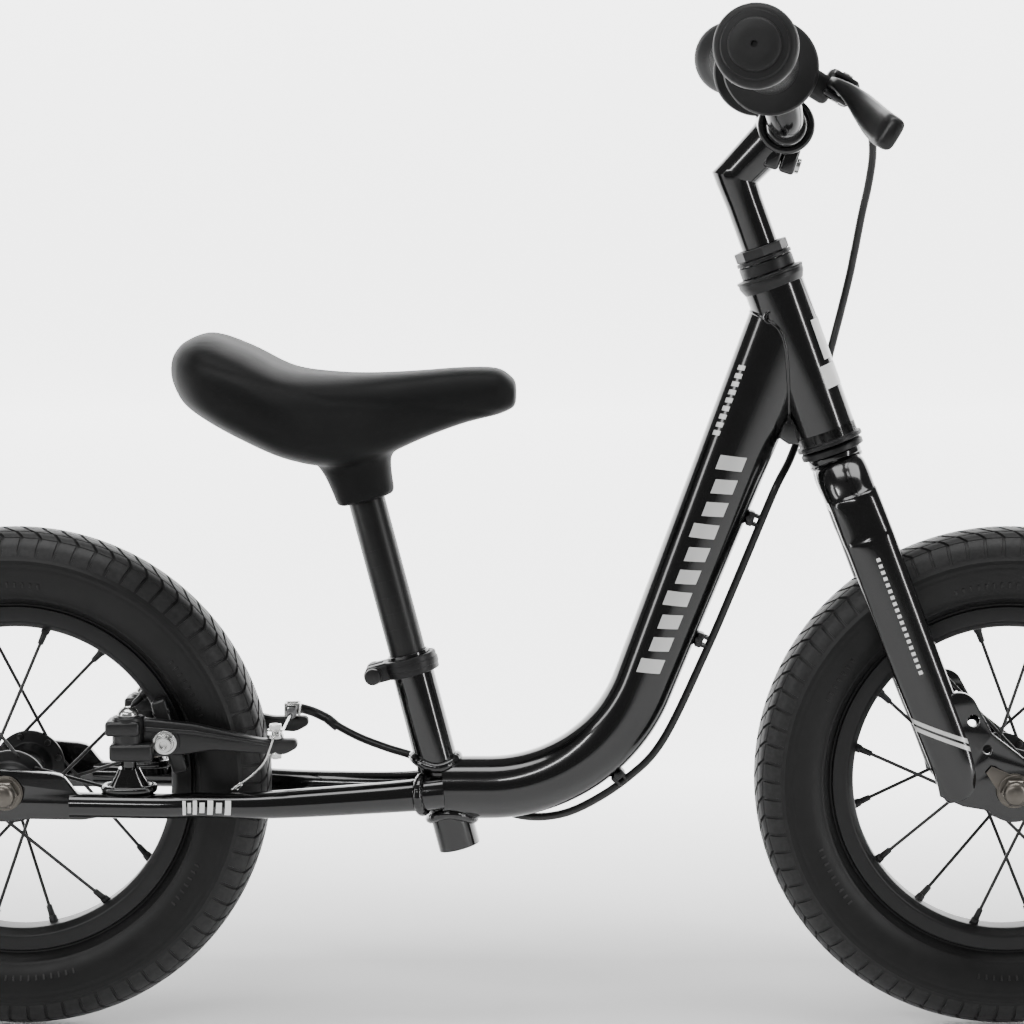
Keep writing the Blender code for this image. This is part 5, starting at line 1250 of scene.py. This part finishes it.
def socket_head(radius, height, bore):
    """The section of a cap screw's head with its socket."""
    return softened([(0.0, 0.0), (radius, 0.0), (radius, height), (bore, height), (bore, height * 0.4),
                     (0.0, height * 0.4)], 0.5)


class BIKE_OT_lever(bpy.types.Operator):
    """Make the brake lever, its bracket, pin and cable adjuster."""

    bl_idname = "bike.lever"
    bl_label = "Brake Lever"

    def execute(self, context):
        inner, along, _ = grip_line(-1.0)
        ring_at = inner + along * 18.7
        bracket = Shape()
        bracket.turned(softened([(11.3, -6.0), (15.6, -6.0), (15.6, 6.0), (11.3, 6.0)], 1.4), ring_at, along, 64)
        turn = Matrix((-LEVER_PULL, LEFTWARD, -LEVER_AXIS)).transposed().to_4x4()
        ahead = LEVER_PIVOT - ring_at
        bracket.block(ring_at + ahead * 0.5 + Vector((0, 5, 0)), (34, 13, 16), turn, edge=3.4)
        bracket.block(LEVER_PIVOT + Vector((0, 11, 0)), (20, 14, 17), turn, edge=3.8)
        for side in SIDES.values():
            cheek = LEVER_PIVOT + LEVER_AXIS * side * 6.3 + Vector((0, 3, 0))
            bracket.block(cheek, (15, 17, 3.2), turn, edge=1.3)
        bracket.block(ring_at + LEVER_PULL * 2 + LEVER_AXIS * 16, (10, 12, 9), turn, edge=2.0)
        bracket.close("lever_clamp_bracket", "bar", "brake plastic", ["lever_bracket"])
        head_at = ring_at + LEVER_AXIS * 17 - LEVER_PULL * 4
        screw = Shape().turned(socket_head(3.4, 4.0, 1.6), head_at, -LEVER_PULL, 32)
        screw.close("bracket_clamp_screw", "bar", "bright steel")
        pin = Shape().rod(LEVER_PIVOT - LEVER_AXIS * 8.6, LEVER_PIVOT + LEVER_AXIS * 8.6, 2.0, edge=0.4)
        for side in SIDES.values():
            pin.rod(LEVER_PIVOT + LEVER_AXIS * side * 7.8, LEVER_PIVOT + LEVER_AXIS * side * 9.0, 3.3, edge=0.5)
        pin.close("lever_pivot_pin", "bar", "bright steel", ["lever_pin"])
        self.add_adjuster()
        self.add_blade()
        return {"FINISHED"}

    def add_adjuster(self):
        start = LEVER_PIVOT + Vector((0, 11, 0))
        adjuster = Shape().rod(start, start + LEFTWARD * 14, 2.9)
        knob = []
        for height, radius in ((8.3, 3.8), (9.0, 4.6), (15.5, 4.6), (16.3, 4.0), (20.0, 3.4)):
            knob.append([start + LEFTWARD * height + turn_out(a, radius + (0.25 if k % 2 else 0.0))
                         for k, a in enumerate(angles(36))])
        adjuster.skin(knob)
        adjuster.close("cable_adjuster", "bar", "brake plastic", ["barrel_adjuster"])

    def add_blade(self):
        """A two finger blade: a hub on the pin, a neck, a dimpled finger rest and a rounded end."""
        rows = [(-5.4, 0.0, 0.0, 3.0, 2.4), (-5.0, 0.0, 0.0, 5.0, 3.4), (-2.0, 0.0, 0.0, 7.2, 3.8),
                (3.0, 0.0, 0.0, 8.0, 3.9), (14.0, 2.0, 0.0, 7.5, 3.9), (26.0, 9.0, 1.5, 6.4, 5.8),
                (42.0, 16.0, 5.0, 5.2, 7.8), (62.0, 22.5, 8.5, 4.8, 9.2), (80.0, 27.5, 10.5, 5.0, 9.8),
                (86.0, 29.7, 10.9, 5.2, 9.8), (90.0, 31.4, 11.0, 4.6, 8.8), (91.5, 32.0, 11.0, 3.2, 6.6)]
        rings = []
        for out, ahead, drop, thick, tall in spline_through(rows, 5):
            middle = LEVER_PIVOT - LEFTWARD * out - LEVER_PULL * ahead + LEVER_AXIS * drop
            dimple = 1.6 * math.exp(-((out - 48) / 13) ** 2)
            ring = []
            for a in angles(40):
                across = math.copysign(abs(math.cos(a)) ** 0.5, math.cos(a))
                level = math.copysign(abs(math.sin(a)) ** 0.5, math.sin(a))
                hollow = dimple * (1 - level * level) if across < 0 else 0.0
                ring.append(middle + LEVER_PULL * (thick * across + hollow) + LEVER_AXIS * tall * level)
            rings.append(ring)
        Shape().skin(rings).close("lever_blade", "lever", "brake plastic", ["brake_lever"], 50.0)


def turn_out(angle, radius):
    return Vector((radius * math.cos(angle), 0, radius * math.sin(angle)))


# Saddle and post.


class BIKE_OT_saddle(bpy.types.Operator):
    """Make the soft saddle with its moulded neck, and the seatpost."""

    bl_idname = "bike.saddle"
    bl_label = "Saddle and Post"

    def execute(self, context):
        rows = [(-113.0, 90.0, 72.0, 33.5), (-106.0, 97.0, 60.0, 49.6), (-92.0, 100.2, 50.0, 63.0),
                (-70.0, 92.5, 38.0, 67.0), (-45.0, 80.5, 27.0, 63.7), (-18.0, 77.0, 22.0, 49.6),
                (8.0, 76.8, 27.0, 34.8), (35.0, 78.4, 38.5, 26.5), (60.0, 80.2, 47.5, 23.0),
                (80.0, 79.5, 52.5, 21.2), (90.5, 72.0, 57.0, 14.3)]
        pad = Shape()
        pad.skin([self.section(*row) for row in spline_through(rows, 6)])
        neck = [(0.0, 18.5), (8.0, 19.0), (20.0, 21.0), (32.0, 25.0), (44.0, 30.5), (54.0, 34.0)]
        pad.skin([[SADDLE_BASE + SEAT_UP * height + SEAT_AHEAD * radius * 0.98 * math.cos(a)
                   + LEFTWARD * radius * 0.86 * math.sin(a) for a in angles(48)] for height, radius in neck])
        piece = self.blended(pad, context.scene.bike_sizes.saddle_voxel)
        post = Shape().rod(SEAT_FOOT + SEAT_UP * 13, SADDLE_BASE + SEAT_UP * 24, 11.1, edge=0.6, steps=64)
        for k in range(6):
            height = 72 + k * 10
            ring = [(11.0, 0.0), (11.14, 0.1), (11.14, 0.5), (11.0, 0.6)]
            post.turned(ring, on_seat_tube(height + 30), SEAT_UP, 64)
        post.close("painted_seatpost", "seat", "satin black paint", ["seatpost"])
        return {"FINISHED"}

    def section(self, x, top, low, half):
        """Crowned on top, rounded shoulders, sides tucked in underneath."""
        tall = top - low
        shape = [(0.0, 1.0), (0.45, 0.985), (0.8, 0.88), (0.97, 0.68), (1.0, 0.56), (0.965, 0.34), (0.78, 0.12),
                 (0.4, 0.0)]
        half_ring = [(share * half, low + tall * level) for share, level in shape]
        ring = half_ring + [(-side, height) for side, height in reversed(half_ring[1:])]
        closed = ring + ring[:3]
        fine = spline_through([(side, height, 0.0) for side, height in closed], 3)[3:3 + 3 * len(ring)]
        return [SADDLE_BASE + Vector((x, point.x, point.y)) for point in fine]

    def blended(self, shape, voxel):
        """Run the pad and neck together into one skin, smooth it and press in the side crease."""
        rough = bpy.data.meshes.new("saddle_rough")
        bmesh.ops.recalc_face_normals(shape.bm, faces=shape.bm.faces)
        shape.bm.to_mesh(rough)
        item = bpy.data.objects.new("saddle_rough", rough)
        remesh = item.modifiers.new("skin", "REMESH")
        remesh.mode = "VOXEL"
        remesh.voxel_size = voxel
        soft = item.modifiers.new("soft", "SMOOTH")
        soft.factor = 0.5
        soft.iterations = 14
        mesh = mesh_of(item)
        for vert in mesh.vertices:
            place = vert.co / MM - SADDLE_BASE
            if place.z < 20 or abs(place.y) < 6:
                continue
            line = 58.0 - 0.30 * place.x if place.x < -20 else 62.0 - 0.1 * (place.x + 20) + 2.0
            press = 0.9 * math.exp(-((place.z - line) / 2.0) ** 2)
            vert.co.y -= math.copysign(press * MM, place.y)
        return settle("padded_saddle", mesh, "seat", "saddle skin", ["saddle"], 80.0)


# Rear brake.


class BIKE_OT_brake(bpy.types.Operator):
    """Make the rear rim brake: arms, pads, springs, bolts, wire and its bent guide."""

    bl_idname = "bike.brake"
    bl_label = "Rear Brake"

    def execute(self, context):
        for word, side in SIDES.items():
            self.add_arm(word, side)
            self.add_pad(word, side)
            self.add_spring(word, side)
            top = Vector((BRAKE_PIVOT_X, side * 40.0, BRAKE_LEVEL + 16.3))
            bolt = Shape()
            dome = [(0.0, 5.0), (1.6, 4.9), (1.6, 3.0), (2.6, 3.0), (2.6, 4.7), (4.6, 3.7), (5.9, 2.2), (6.4, 0.8),
                    (6.4, 0.0), (0.0, 0.0)]
            bolt.turned(dome, top, UP, 48)
            bolt.rod(top - UP * 12, top + UP * 0.5, 2.4)
            bolt.close(f"pivot_dome_bolt_{word}", "frame", "bright steel", [f"pivot_bolt_{word}"])
        self.add_wire(context.scene.bike_sizes.wire_width / MM / 2)
        self.add_anchor()
        self.add_guide()
        return {"FINISHED"}

    def add_arm(self, word, side):
        x, z = BRAKE_PIVOT_X, BRAKE_LEVEL
        end = x + 101.0
        outline = [(x - 7, z + 3.5), (x - 7, z + 13), (x + 8, z + 14.0), (x + 22, z + 12.6), (x + 40, z + 10.5),
                   (end - 22, z + 1.5), (end - 1, z + 1.5), (end, z - 3.5), (end - 8, z - 8), (x + 50, z - 5),
                   (x + 32, z - 8), (x + 12, z - 9), (x + 9, z - 2)]
        arm = Shape().plate([softened(outline, 3.0)], 7.6, side * 37.0, edge=1.4)
        rib = [(x + 10, z + 9.5), (x + 40, z + 7.2), (end - 16, z - 0.5), (end - 16, z - 2.5), (x + 40, z + 4.4),
               (x + 10, z + 6.6)]
        arm.plate([softened(rib, 0.8)], 2.4, side * 41.2, edge=0.6)
        barrel = softened([(4.9, -9.5), (9.5, -9.5), (9.5, 15.8), (4.9, 15.8)], 1.3)
        arm.turned(barrel, Vector((x, side * 40.0, z)), UP, 48)
        arm.turned(softened([(3.3, -0.2), (8.6, -0.2), (8.6, 0.9), (3.3, 0.9)], 0.3),
                   pad_stud(side * 41.0), LEFTWARD * side, 40)
        arm.close(f"moulded_arm_{word}", f"{word}_arm", "brake plastic", [f"brake_arm_{word}"])

    def add_pad(self, word, side):
        lean = math.atan2(BRAKE_LEVEL - AXLE_HEIGHT, 94.0)
        inner = 12.5 + 2.4
        middle = pad_stud(side * (inner + 4.75))
        turn = Matrix.Rotation(-lean, 4, "Y")
        pad = Shape()
        pad.block(middle, (9.5, 9.5, 46), turn, edge=2.0)
        for shift in (-15, -7.5, 7.5, 15):
            notch = turn @ Vector((0, 0, shift))
            pad.block(middle + notch + LEFTWARD * side * 2.0, (10.2, 5.0, 3.4), turn, edge=0.8)
        pad.rod(middle, pad_stud(side * 32.7), 6.3, 5.6, edge=0.6)
        pad.close(f"rubber_pad_{word}", f"{word}_arm", "brake plastic", [f"brake_pad_{word}"])
        stud = Shape()
        stud.rod(pad_stud(side * 24), pad_stud(side * 46), 3.0)
        washer = softened([(3.0, 0.0), (7.2, 0.0), (7.2, 1.7), (3.0, 1.7)], 0.4)
        stud.turned(washer, pad_stud(side * 42.0), LEFTWARD * side, 48)
        washer = softened([(3.0, 0.0), (6.0, 0.0), (5.2, 1.8), (3.0, 1.8)], 0.4)
        stud.turned(washer, pad_stud(side * 43.7), LEFTWARD * side, 48)
        stud.turned(socket_head(4.7, 5.6, 2.3), pad_stud(side * 45.4), LEFTWARD * side, 40)
        stud.close(f"pad_screw_{word}", f"{word}_arm", "bright steel")

    def add_spring(self, word, side):
        """The return spring's box under an arm, and the spring's own wire."""
        pivot = Vector((BRAKE_PIVOT_X, side * 40.0, BRAKE_LEVEL))
        box = Shape()
        box.block(pivot + Vector((2.5, 0, -5.2)), (26, 20.5, 10.5), edge=2.2)
        box.block(pivot + Vector((-2.5, 0, 9.2)), (20.5, 19.6, 9.0), edge=2.0)
        box.turned(softened([(4.9, 14.0), (8.3, 14.0), (7.6, 16.1), (4.9, 16.1)], 0.4), pivot, UP, 40)
        box.close(f"spring_box_{word}", f"{word}_arm", "brake plastic")
        offsets = ((4, side * -5, -10.2), (16, side * -7, -10.0), (32, side * -9, -6.0), (42, side * -9, -2.0))
        rod = [pivot + Vector(offset) for offset in offsets]
        spring = Shape().tube(spline_through(rod, 6), 0.9, 12)
        spring.close(f"return_spring_{word}", f"{word}_arm", "dark steel")

    def add_wire(self, radius):
        """A twisted wire across the tyre, and its free tail with an end cap."""
        start = WIRE_START + LEFTWARD * -5
        end = Vector((WIRE_START.x, 28.0, WIRE_START.z))
        path = [start.lerp(end, i / 60) for i in range(61)]
        Shape().skin(twisted(path, radius)).close("stranded_wire", "wire", "bright steel", ["brake_wire"], 60.0)
        corners = [WIRE_START + Vector((-3.4, -4.0, 0)), WIRE_START + Vector((-5.2, -5.4, -5)),
                   WIRE_START + Vector((-10, -3.0, -17)), WIRE_START + Vector((-18, 1.0, -26)),
                   WIRE_START + Vector((-26.0, 3.0, -32.5))]
        tail = Shape().skin(twisted(spline_through(corners, 10), radius * 0.95))
        tail.close("wire_tail", "right_arm", "bright steel", angle=60.0)
        along = (corners[-1] - corners[-2]).normalized()
        cap = Shape()
        cap.rod(corners[-1] - along * 1.5, corners[-1] + along * 5.5, 1.5, 1.7, edge=0.4, steps=20)
        cap.rod(corners[-1] + along * 2.2, corners[-1] + along * 3.2, 2.0, edge=0.4, steps=20)
        cap.close("wire_end_cap", "right_arm", "bright steel")

    def add_anchor(self):
        seat = WIRE_START + Vector((-3.6, 0, 0))
        bolt = Shape()
        bolt.rod(seat - UP * 16, seat + UP * 4.8, 2.2)
        bolt.turned(softened([(0, -3.3), (5.0, -3.3), (5.0, -1.0), (0, -1.0)], 0.4), seat, UP, 40)
        bolt.turned(softened([(0, 1.1), (5.0, 1.1), (5.0, 2.0), (0, 2.0)], 0.4), seat, UP, 40)
        bolt.turned(socket_head(4.0, 3.2, 1.8), seat + UP * 1.9, UP, 6)
        bolt.rod(seat - UP * 15.5, seat - UP * 11.4, 4.2, edge=0.5, steps=6)
        bolt.close("wire_anchor_bolt", "right_arm", "bright steel", ["anchor_bolt"])

    def add_guide(self):
        """The bent pipe that leads the wire in, its link and its rubber boot."""
        start = Vector((WIRE_START.x, 0, WIRE_START.z))
        route = [(0, 26, 0), (0, 34, 0), (0, 41, 0), (4, 47, -0.6), (12, 49.5, -3.5), (20, 48, -7)]
        path = spline_through([start + Vector(place) for place in route], 8)
        pipe = Shape().tube(path, [3.0 - 0.6 * max(0.0, 1 - i / 6) for i in range(len(path))], 32)
        pipe.close("bent_guide_pipe", "left_arm", "housing skin", ["noodle"])
        middle = start + Vector((0, 35.5, 1.2))
        link = Shape()
        for side in SIDES.values():
            link.block(middle + Vector((side * 4.1, 0, 0)), (1.6, 9, 8.3), edge=0.6)
        for level in (-3.2, 3.2):
            link.block(middle + Vector((0, 3.6, level)), (9.6, 1.7, 1.9), edge=0.5)
        link.rod(middle + Vector((-4.9, -2, 2.4)), middle + Vector((4.9, -2, 2.4)), 1.2, edge=0.3, steps=20)
        link.close("guide_link", "left_arm", "bright steel", ["noodle_link"])
        boot = Shape()
        profile = [(0, 0), (3.4, 0), (3.4, 1.5), (2.5, 2.4), (3.2, 3.4), (2.3, 4.6), (2.9, 5.8), (2.0, 7.2),
                   (1.5, 9.0), (0, 9.0)]
        boot.turned(softened(profile, 0.5), start + LEFTWARD * 27.5, -LEFTWARD, 40)
        boot.close("guide_boot", "left_arm", "grey boot rubber")


def pad_stud(across):
    return Vector((REAR_AXLE.x + 94.0, across, BRAKE_LEVEL))


def twisted(path, radius):
    """Rings of a seven strand wire along a path."""
    rings = []
    walked = 0.0
    for i, place in enumerate(path):
        along = (path[min(i + 1, len(path) - 1)] - path[max(i - 1, 0)]).normalized()
        beside = square_to(along)
        above = along.cross(beside)
        if i:
            walked += (place - path[i - 1]).length
        ring = []
        for a in angles(24):
            lobe = radius * (0.9 + 0.12 * abs(math.cos(3 * (a + walked * 0.55))))
            ring.append(place + (beside * math.cos(a) + above * math.sin(a)) * lobe)
        rings.append(ring)
    return rings


# The brake housing's route, from the lever's adjuster to the bent guide pipe.
UPPER_ROUTE = [(190.4, -44.0, 569.8), (191.5, -36.0, 569.9), (199.0, -21.0, 566.6), (208.5, -8.0, 557.5),
               (214.5, 2.0, 544.5), (216.4, 9.0, 529.5), (214.5, 13.0, 512.0), (210.8, 17.0, 493.0),
               (207.4, 20.4, 473.0), (206.7, 20.9, 469.5)]
LOWER_ROUTE = [(207.0, 20.8, 471.2), (204.0, 23.0, 455.0), (197.0, 26.0, 425.0), (189.0, 27.0, 395.0),
               (178.0, 24.0, 368.0), (168.5, 12.0, 346.0), (161.5, 3.0, 334.0), (155.5, 0.0, 321.2),
               (136.6, 0.0, 275.0), (117.2, 0.0, 229.0), (91.6, 0.0, 175.3), (69.8, 0.0, 151.6),
               (42.6, 0.0, 134.1), (22.0, 4.5, 126.9), (2.0, 11.5, 126.4), (-14.0, 18.8, 132.6),
               (-30.0, 23.0, 142.0), (-48.0, 25.8, 152.8), (-62.0, 27.0, 159.8), (-78.0, 30.0, 164.3),
               (-96.0, 38.0, 169.5), (-111.5, 46.8, 175.8), (-117.0, 48.2, 179.6)]


class BIKE_OT_housing(bpy.types.Operator):
    """Make the brake cable's housing and its end caps."""

    bl_idname = "bike.housing"
    bl_label = "Cable Housing"

    def execute(self, context):
        ends = []
        for name, route, node in (("upper_housing", UPPER_ROUTE, "housing_upper"),
                                  ("lower_housing", LOWER_ROUTE, "housing_lower")):
            path = spline_through([Vector(place) for place in route], 10)
            ends.append(path)
            shape = Shape().tube(path, 2.45, 28)
            bmesh.ops.recalc_face_normals(shape.bm, faces=shape.bm.faces)
            mesh = bpy.data.meshes.new(name)
            shape.bm.to_mesh(mesh)
            shape.bm.free()
            piece = settle(name, mesh, None, "housing skin", [node], rides=False)
            if name == "upper_housing":
                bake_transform(piece)
            else:
                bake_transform(piece)
        caps = Shape()
        last = ends[1]
        along = (last[-1] - last[-4]).normalized()
        caps.rod(last[-1] - along * 9, last[-1] + along * 0.2, 3.1, edge=0.4)
        caps.close("housing_end_cap", "frame", "brake plastic")
        cap = Shape()
        first = ends[0]
        along = (first[0] - first[3]).normalized()
        cap.rod(first[0] - along * 7, first[0] + along * 0.2, 3.1, edge=0.4)
        cap.close("housing_top_cap", "bar", "brake plastic")
        return {"FINISHED"}


# Decals.


class BIKE_OT_decals(bpy.types.Operator):
    """Make the plain silver bars, stripes and badge."""

    bl_idname = "bike.decals"
    bl_label = "Plain Decals"

    def execute(self, context):
        bars = Shape()
        start, pitch = MAIN_LENGTH - 226.0, 14.6
        for k in range(10):
            low = -23 if k % 3 == 0 else -16
            patch(bars, main_surface, start + k * pitch, start + k * pitch + 9.0, low, 18, slant=4.0)
        bars.close("main_tube_bars", "frame", "silver decal")
        dashes = Shape()
        for k in range(9):
            patch(dashes, main_surface, MAIN_LENGTH - 78 + k * 5.2, MAIN_LENGTH - 75 + k * 5.2, -52, -38, slant=1.0)
        dashes.close("main_tube_dashes", "frame", "silver decal")
        stay = Shape()
        for low, high, tall in ((0.56, 0.578, 34), (0.588, 0.606, 24), (0.616, 0.634, 34), (0.644, 0.662, 24),
                                (0.672, 0.69, 34), (0.7, 0.718, 24), (0.728, 0.746, 34)):
            patch(stay, stay_outside, low, high, -tall, tall)
        stay.close("stay_bars", "frame", "white decal")
        for word, side in SIDES.items():
            stripes = Shape()
            add_blade_stripe(stripes, side, 62.0, 3.1, 25.0)
            add_blade_stripe(stripes, side, 57.0, 3.1, 25.0)
            stripes.close(f"blade_stripes_{word}", "fork", "silver decal")
            marks = Shape()
            for k in range(19):
                height = 160.0 - k * 4.0
                rings = []
                for angle in (84, 87, 90, 93):
                    rings.append([blade_surface(side, interpolated_station(height - down), angle, lift)
                                  for down, lift in ((0, -0.4), (0, 0.2), (2.2, 0.2), (2.2, -0.4))])
                marks.skin(rings)
            marks.close(f"blade_dashes_{word}", "fork", "white decal")
        self.add_badge()
        return {"FINISHED"}

    def add_badge(self):
        badge = Shape()

        def on_head(length, angle, lift):
            turn = math.radians(angle)
            out = STEER_AHEAD * math.cos(turn) + LEFTWARD * math.sin(turn)
            return on_steering(HEAD_BASE + length) + out * (HEAD_RADIUS + lift)

        patch(badge, on_head, 30.0, 44.0, -62, 62, steps=24)
        patch(badge, on_head, 47.0, 72.0, -44, 44, steps=24)
        badge.close("head_badge", "frame", "white decal")
        vent = Shape()
        start = on_steering(HEAD_BASE + 82, -9.0, -15.2)
        vent.turned(softened([(2.2, 0), (4.2, 0), (3.8, 1.2), (2.2, 1.2)], 0.3), start, -LEFTWARD, 32)
        vent.close("vent_rim", "frame", "gloss black paint")


# Stage.

CAMERA_PLACE = Vector((53.8, -1951.6, 550.0))
CAMERA_TILT = 6.87
CAMERA_LENS = 114.47
CAMERA_SHIFT = -0.0869


class BIKE_OT_stage(bpy.types.Operator):
    """Make the pale floor, the lights and the camera."""

    bl_idname = "bike.stage"
    bl_label = "Stage"

    def execute(self, context):
        scene = context.scene
        sweep = Shape()
        profile = [(-6000.0, -2.0)] + [(4200.0 + 900 * math.sin(a), 898 - 900 * math.cos(a))
                                       for a in [math.pi / 2 * i / 24 for i in range(25)]] + [(5100.0, 5000.0)]
        for (y0, z0), (y1, z1) in zip(profile, profile[1:]):
            corners = [Vector((x, y, z)) * MM for x, y, z in
                       ((-9000, y0, z0), (9000, y0, z0), (9000, y1, z1), (-9000, y1, z1))]
            sweep.bm.faces.new([sweep.bm.verts.new(corner) for corner in corners])
        bmesh.ops.remove_doubles(sweep.bm, verts=sweep.bm.verts, dist=0.0001)
        mesh = bpy.data.meshes.new("studio_sweep")
        sweep.bm.to_mesh(mesh)
        sweep.bm.free()
        mesh.shade_smooth()
        backdrop = bpy.data.objects.new("studio_sweep", mesh)
        scene.collection.objects.link(backdrop)
        mesh.materials.append(self.floor_finish())
        self.add_light("top_softbox", (0.0, -0.3, 2.4), (0, 0, 0.25), 2.4, 0.9, 42)
        self.add_light("front_strip", (-1.2, -2.0, 1.9), (0, 0, 0.3), 2.2, 0.14, 26)
        self.add_light("side_strip", (2.2, -1.3, 0.9), (0.1, 0, 0.3), 0.16, 1.9, 22)
        self.add_light("far_strip", (-2.2, -0.9, 0.9), (-0.1, 0, 0.3), 0.3, 1.6, 12)
        world = bpy.data.worlds.new("studio")
        scene.world = world
        world.use_nodes = True
        world.node_tree.nodes["Background"].inputs["Color"].default_value = (1, 1, 1, 1)
        world.node_tree.nodes["Background"].inputs["Strength"].default_value = 0.16
        camera = bpy.data.cameras.new("camera")
        camera.lens = CAMERA_LENS
        camera.sensor_width = 36.0
        camera.shift_x = CAMERA_SHIFT
        camera.clip_end = 50.0
        rig = bpy.data.objects.new("camera", camera)
        rig.location = CAMERA_PLACE * MM
        rig.rotation_euler = (math.radians(90 - CAMERA_TILT), 0, 0)
        scene.collection.objects.link(rig)
        scene.camera = rig
        return {"FINISHED"}

    def floor_finish(self):
        """Pale and matt, and glowing from behind the bike as a lit sweep does."""
        made = bpy.data.materials.new("pale floor")
        made.use_nodes = True
        tree = made.node_tree
        shader = tree.nodes["Principled BSDF"]
        tone = mixed(tree, noise_of(tree, 1.5), (0.86, 0.86, 0.86), (0.9, 0.9, 0.9))
        tree.links.new(tone, shader.inputs["Base Color"])
        shader.inputs["Roughness"].default_value = 0.9
        place = tree.nodes.new("ShaderNodeSeparateXYZ")
        tree.links.new(tree.nodes.new("ShaderNodeTexCoord").outputs["Object"], place.inputs[0])
        glow = maths(tree, "MULTIPLY", maths(tree, "SUBTRACT", place.outputs["Y"], 0.15), 1.6, True)
        tree.links.new(mixed(tree, glow, (0.0, 0.0, 0.0), (1.0, 1.0, 1.0)), shader.inputs["Emission Color"])
        shader.inputs["Emission Strength"].default_value = 3.2
        return made

    def add_light(self, name, place, target, wide, tall, power):
        light = bpy.data.lights.new(name, "AREA")
        light.shape = "RECTANGLE"
        light.size = wide
        light.size_y = tall
        light.energy = power
        item = bpy.data.objects.new(name, light)
        item.location = place
        item.rotation_euler = (Vector(target) - Vector(place)).to_track_quat("-Z", "Y").to_euler()
        bpy.context.scene.collection.objects.link(item)


# Panel and running.

MAKERS = (BIKE_OT_finishes, BIKE_OT_stage, BIKE_OT_frame_tubes, BIKE_OT_frame_fittings, BIKE_OT_wheels, BIKE_OT_fork,
          BIKE_OT_cockpit, BIKE_OT_lever, BIKE_OT_saddle, BIKE_OT_brake, BIKE_OT_housing, BIKE_OT_decals)


class BIKE_PT_makers(bpy.types.Panel):
    """Lists the bike's sizes, colours and makers."""

    bl_idname = "BIKE_PT_makers"
    bl_label = "Balance Bike"
    bl_space_type = "VIEW_3D"
    bl_region_type = "UI"
    bl_category = "Balance Bike"

    def draw(self, context):
        for group in (context.scene.bike_sizes, context.scene.bike_colours):
            for name in group.__annotations__:
                self.layout.prop(group, name)
        for maker in MAKERS:
            self.layout.operator(maker.bl_idname)


CLASSES = (BikeSizes, BikeColours, *MAKERS, BIKE_PT_makers)


def register():
    for item in CLASSES:
        bpy.utils.register_class(item)
    bpy.types.Scene.bike_sizes = bpy.props.PointerProperty(type=BikeSizes)
    bpy.types.Scene.bike_colours = bpy.props.PointerProperty(type=BikeColours)


def unregister():
    del bpy.types.Scene.bike_colours
    del bpy.types.Scene.bike_sizes
    for item in reversed(CLASSES):
        bpy.utils.unregister_class(item)


def write_sizes():
    """Bring the view layer up to date."""
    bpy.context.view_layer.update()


def main():
    register()
    bpy.ops.bike.finishes()
    bpy.ops.bike.stage()
    bpy.ops.bike.frame_tubes()
    bpy.ops.bike.frame_fittings()
    bpy.ops.bike.wheels()
    bpy.ops.bike.fork()
    bpy.ops.bike.cockpit()
    bpy.ops.bike.lever()
    bpy.ops.bike.saddle()
    bpy.ops.bike.brake()
    bpy.ops.bike.housing()
    bpy.ops.bike.decals()
    write_sizes()


if __name__ == "__main__":
    main()
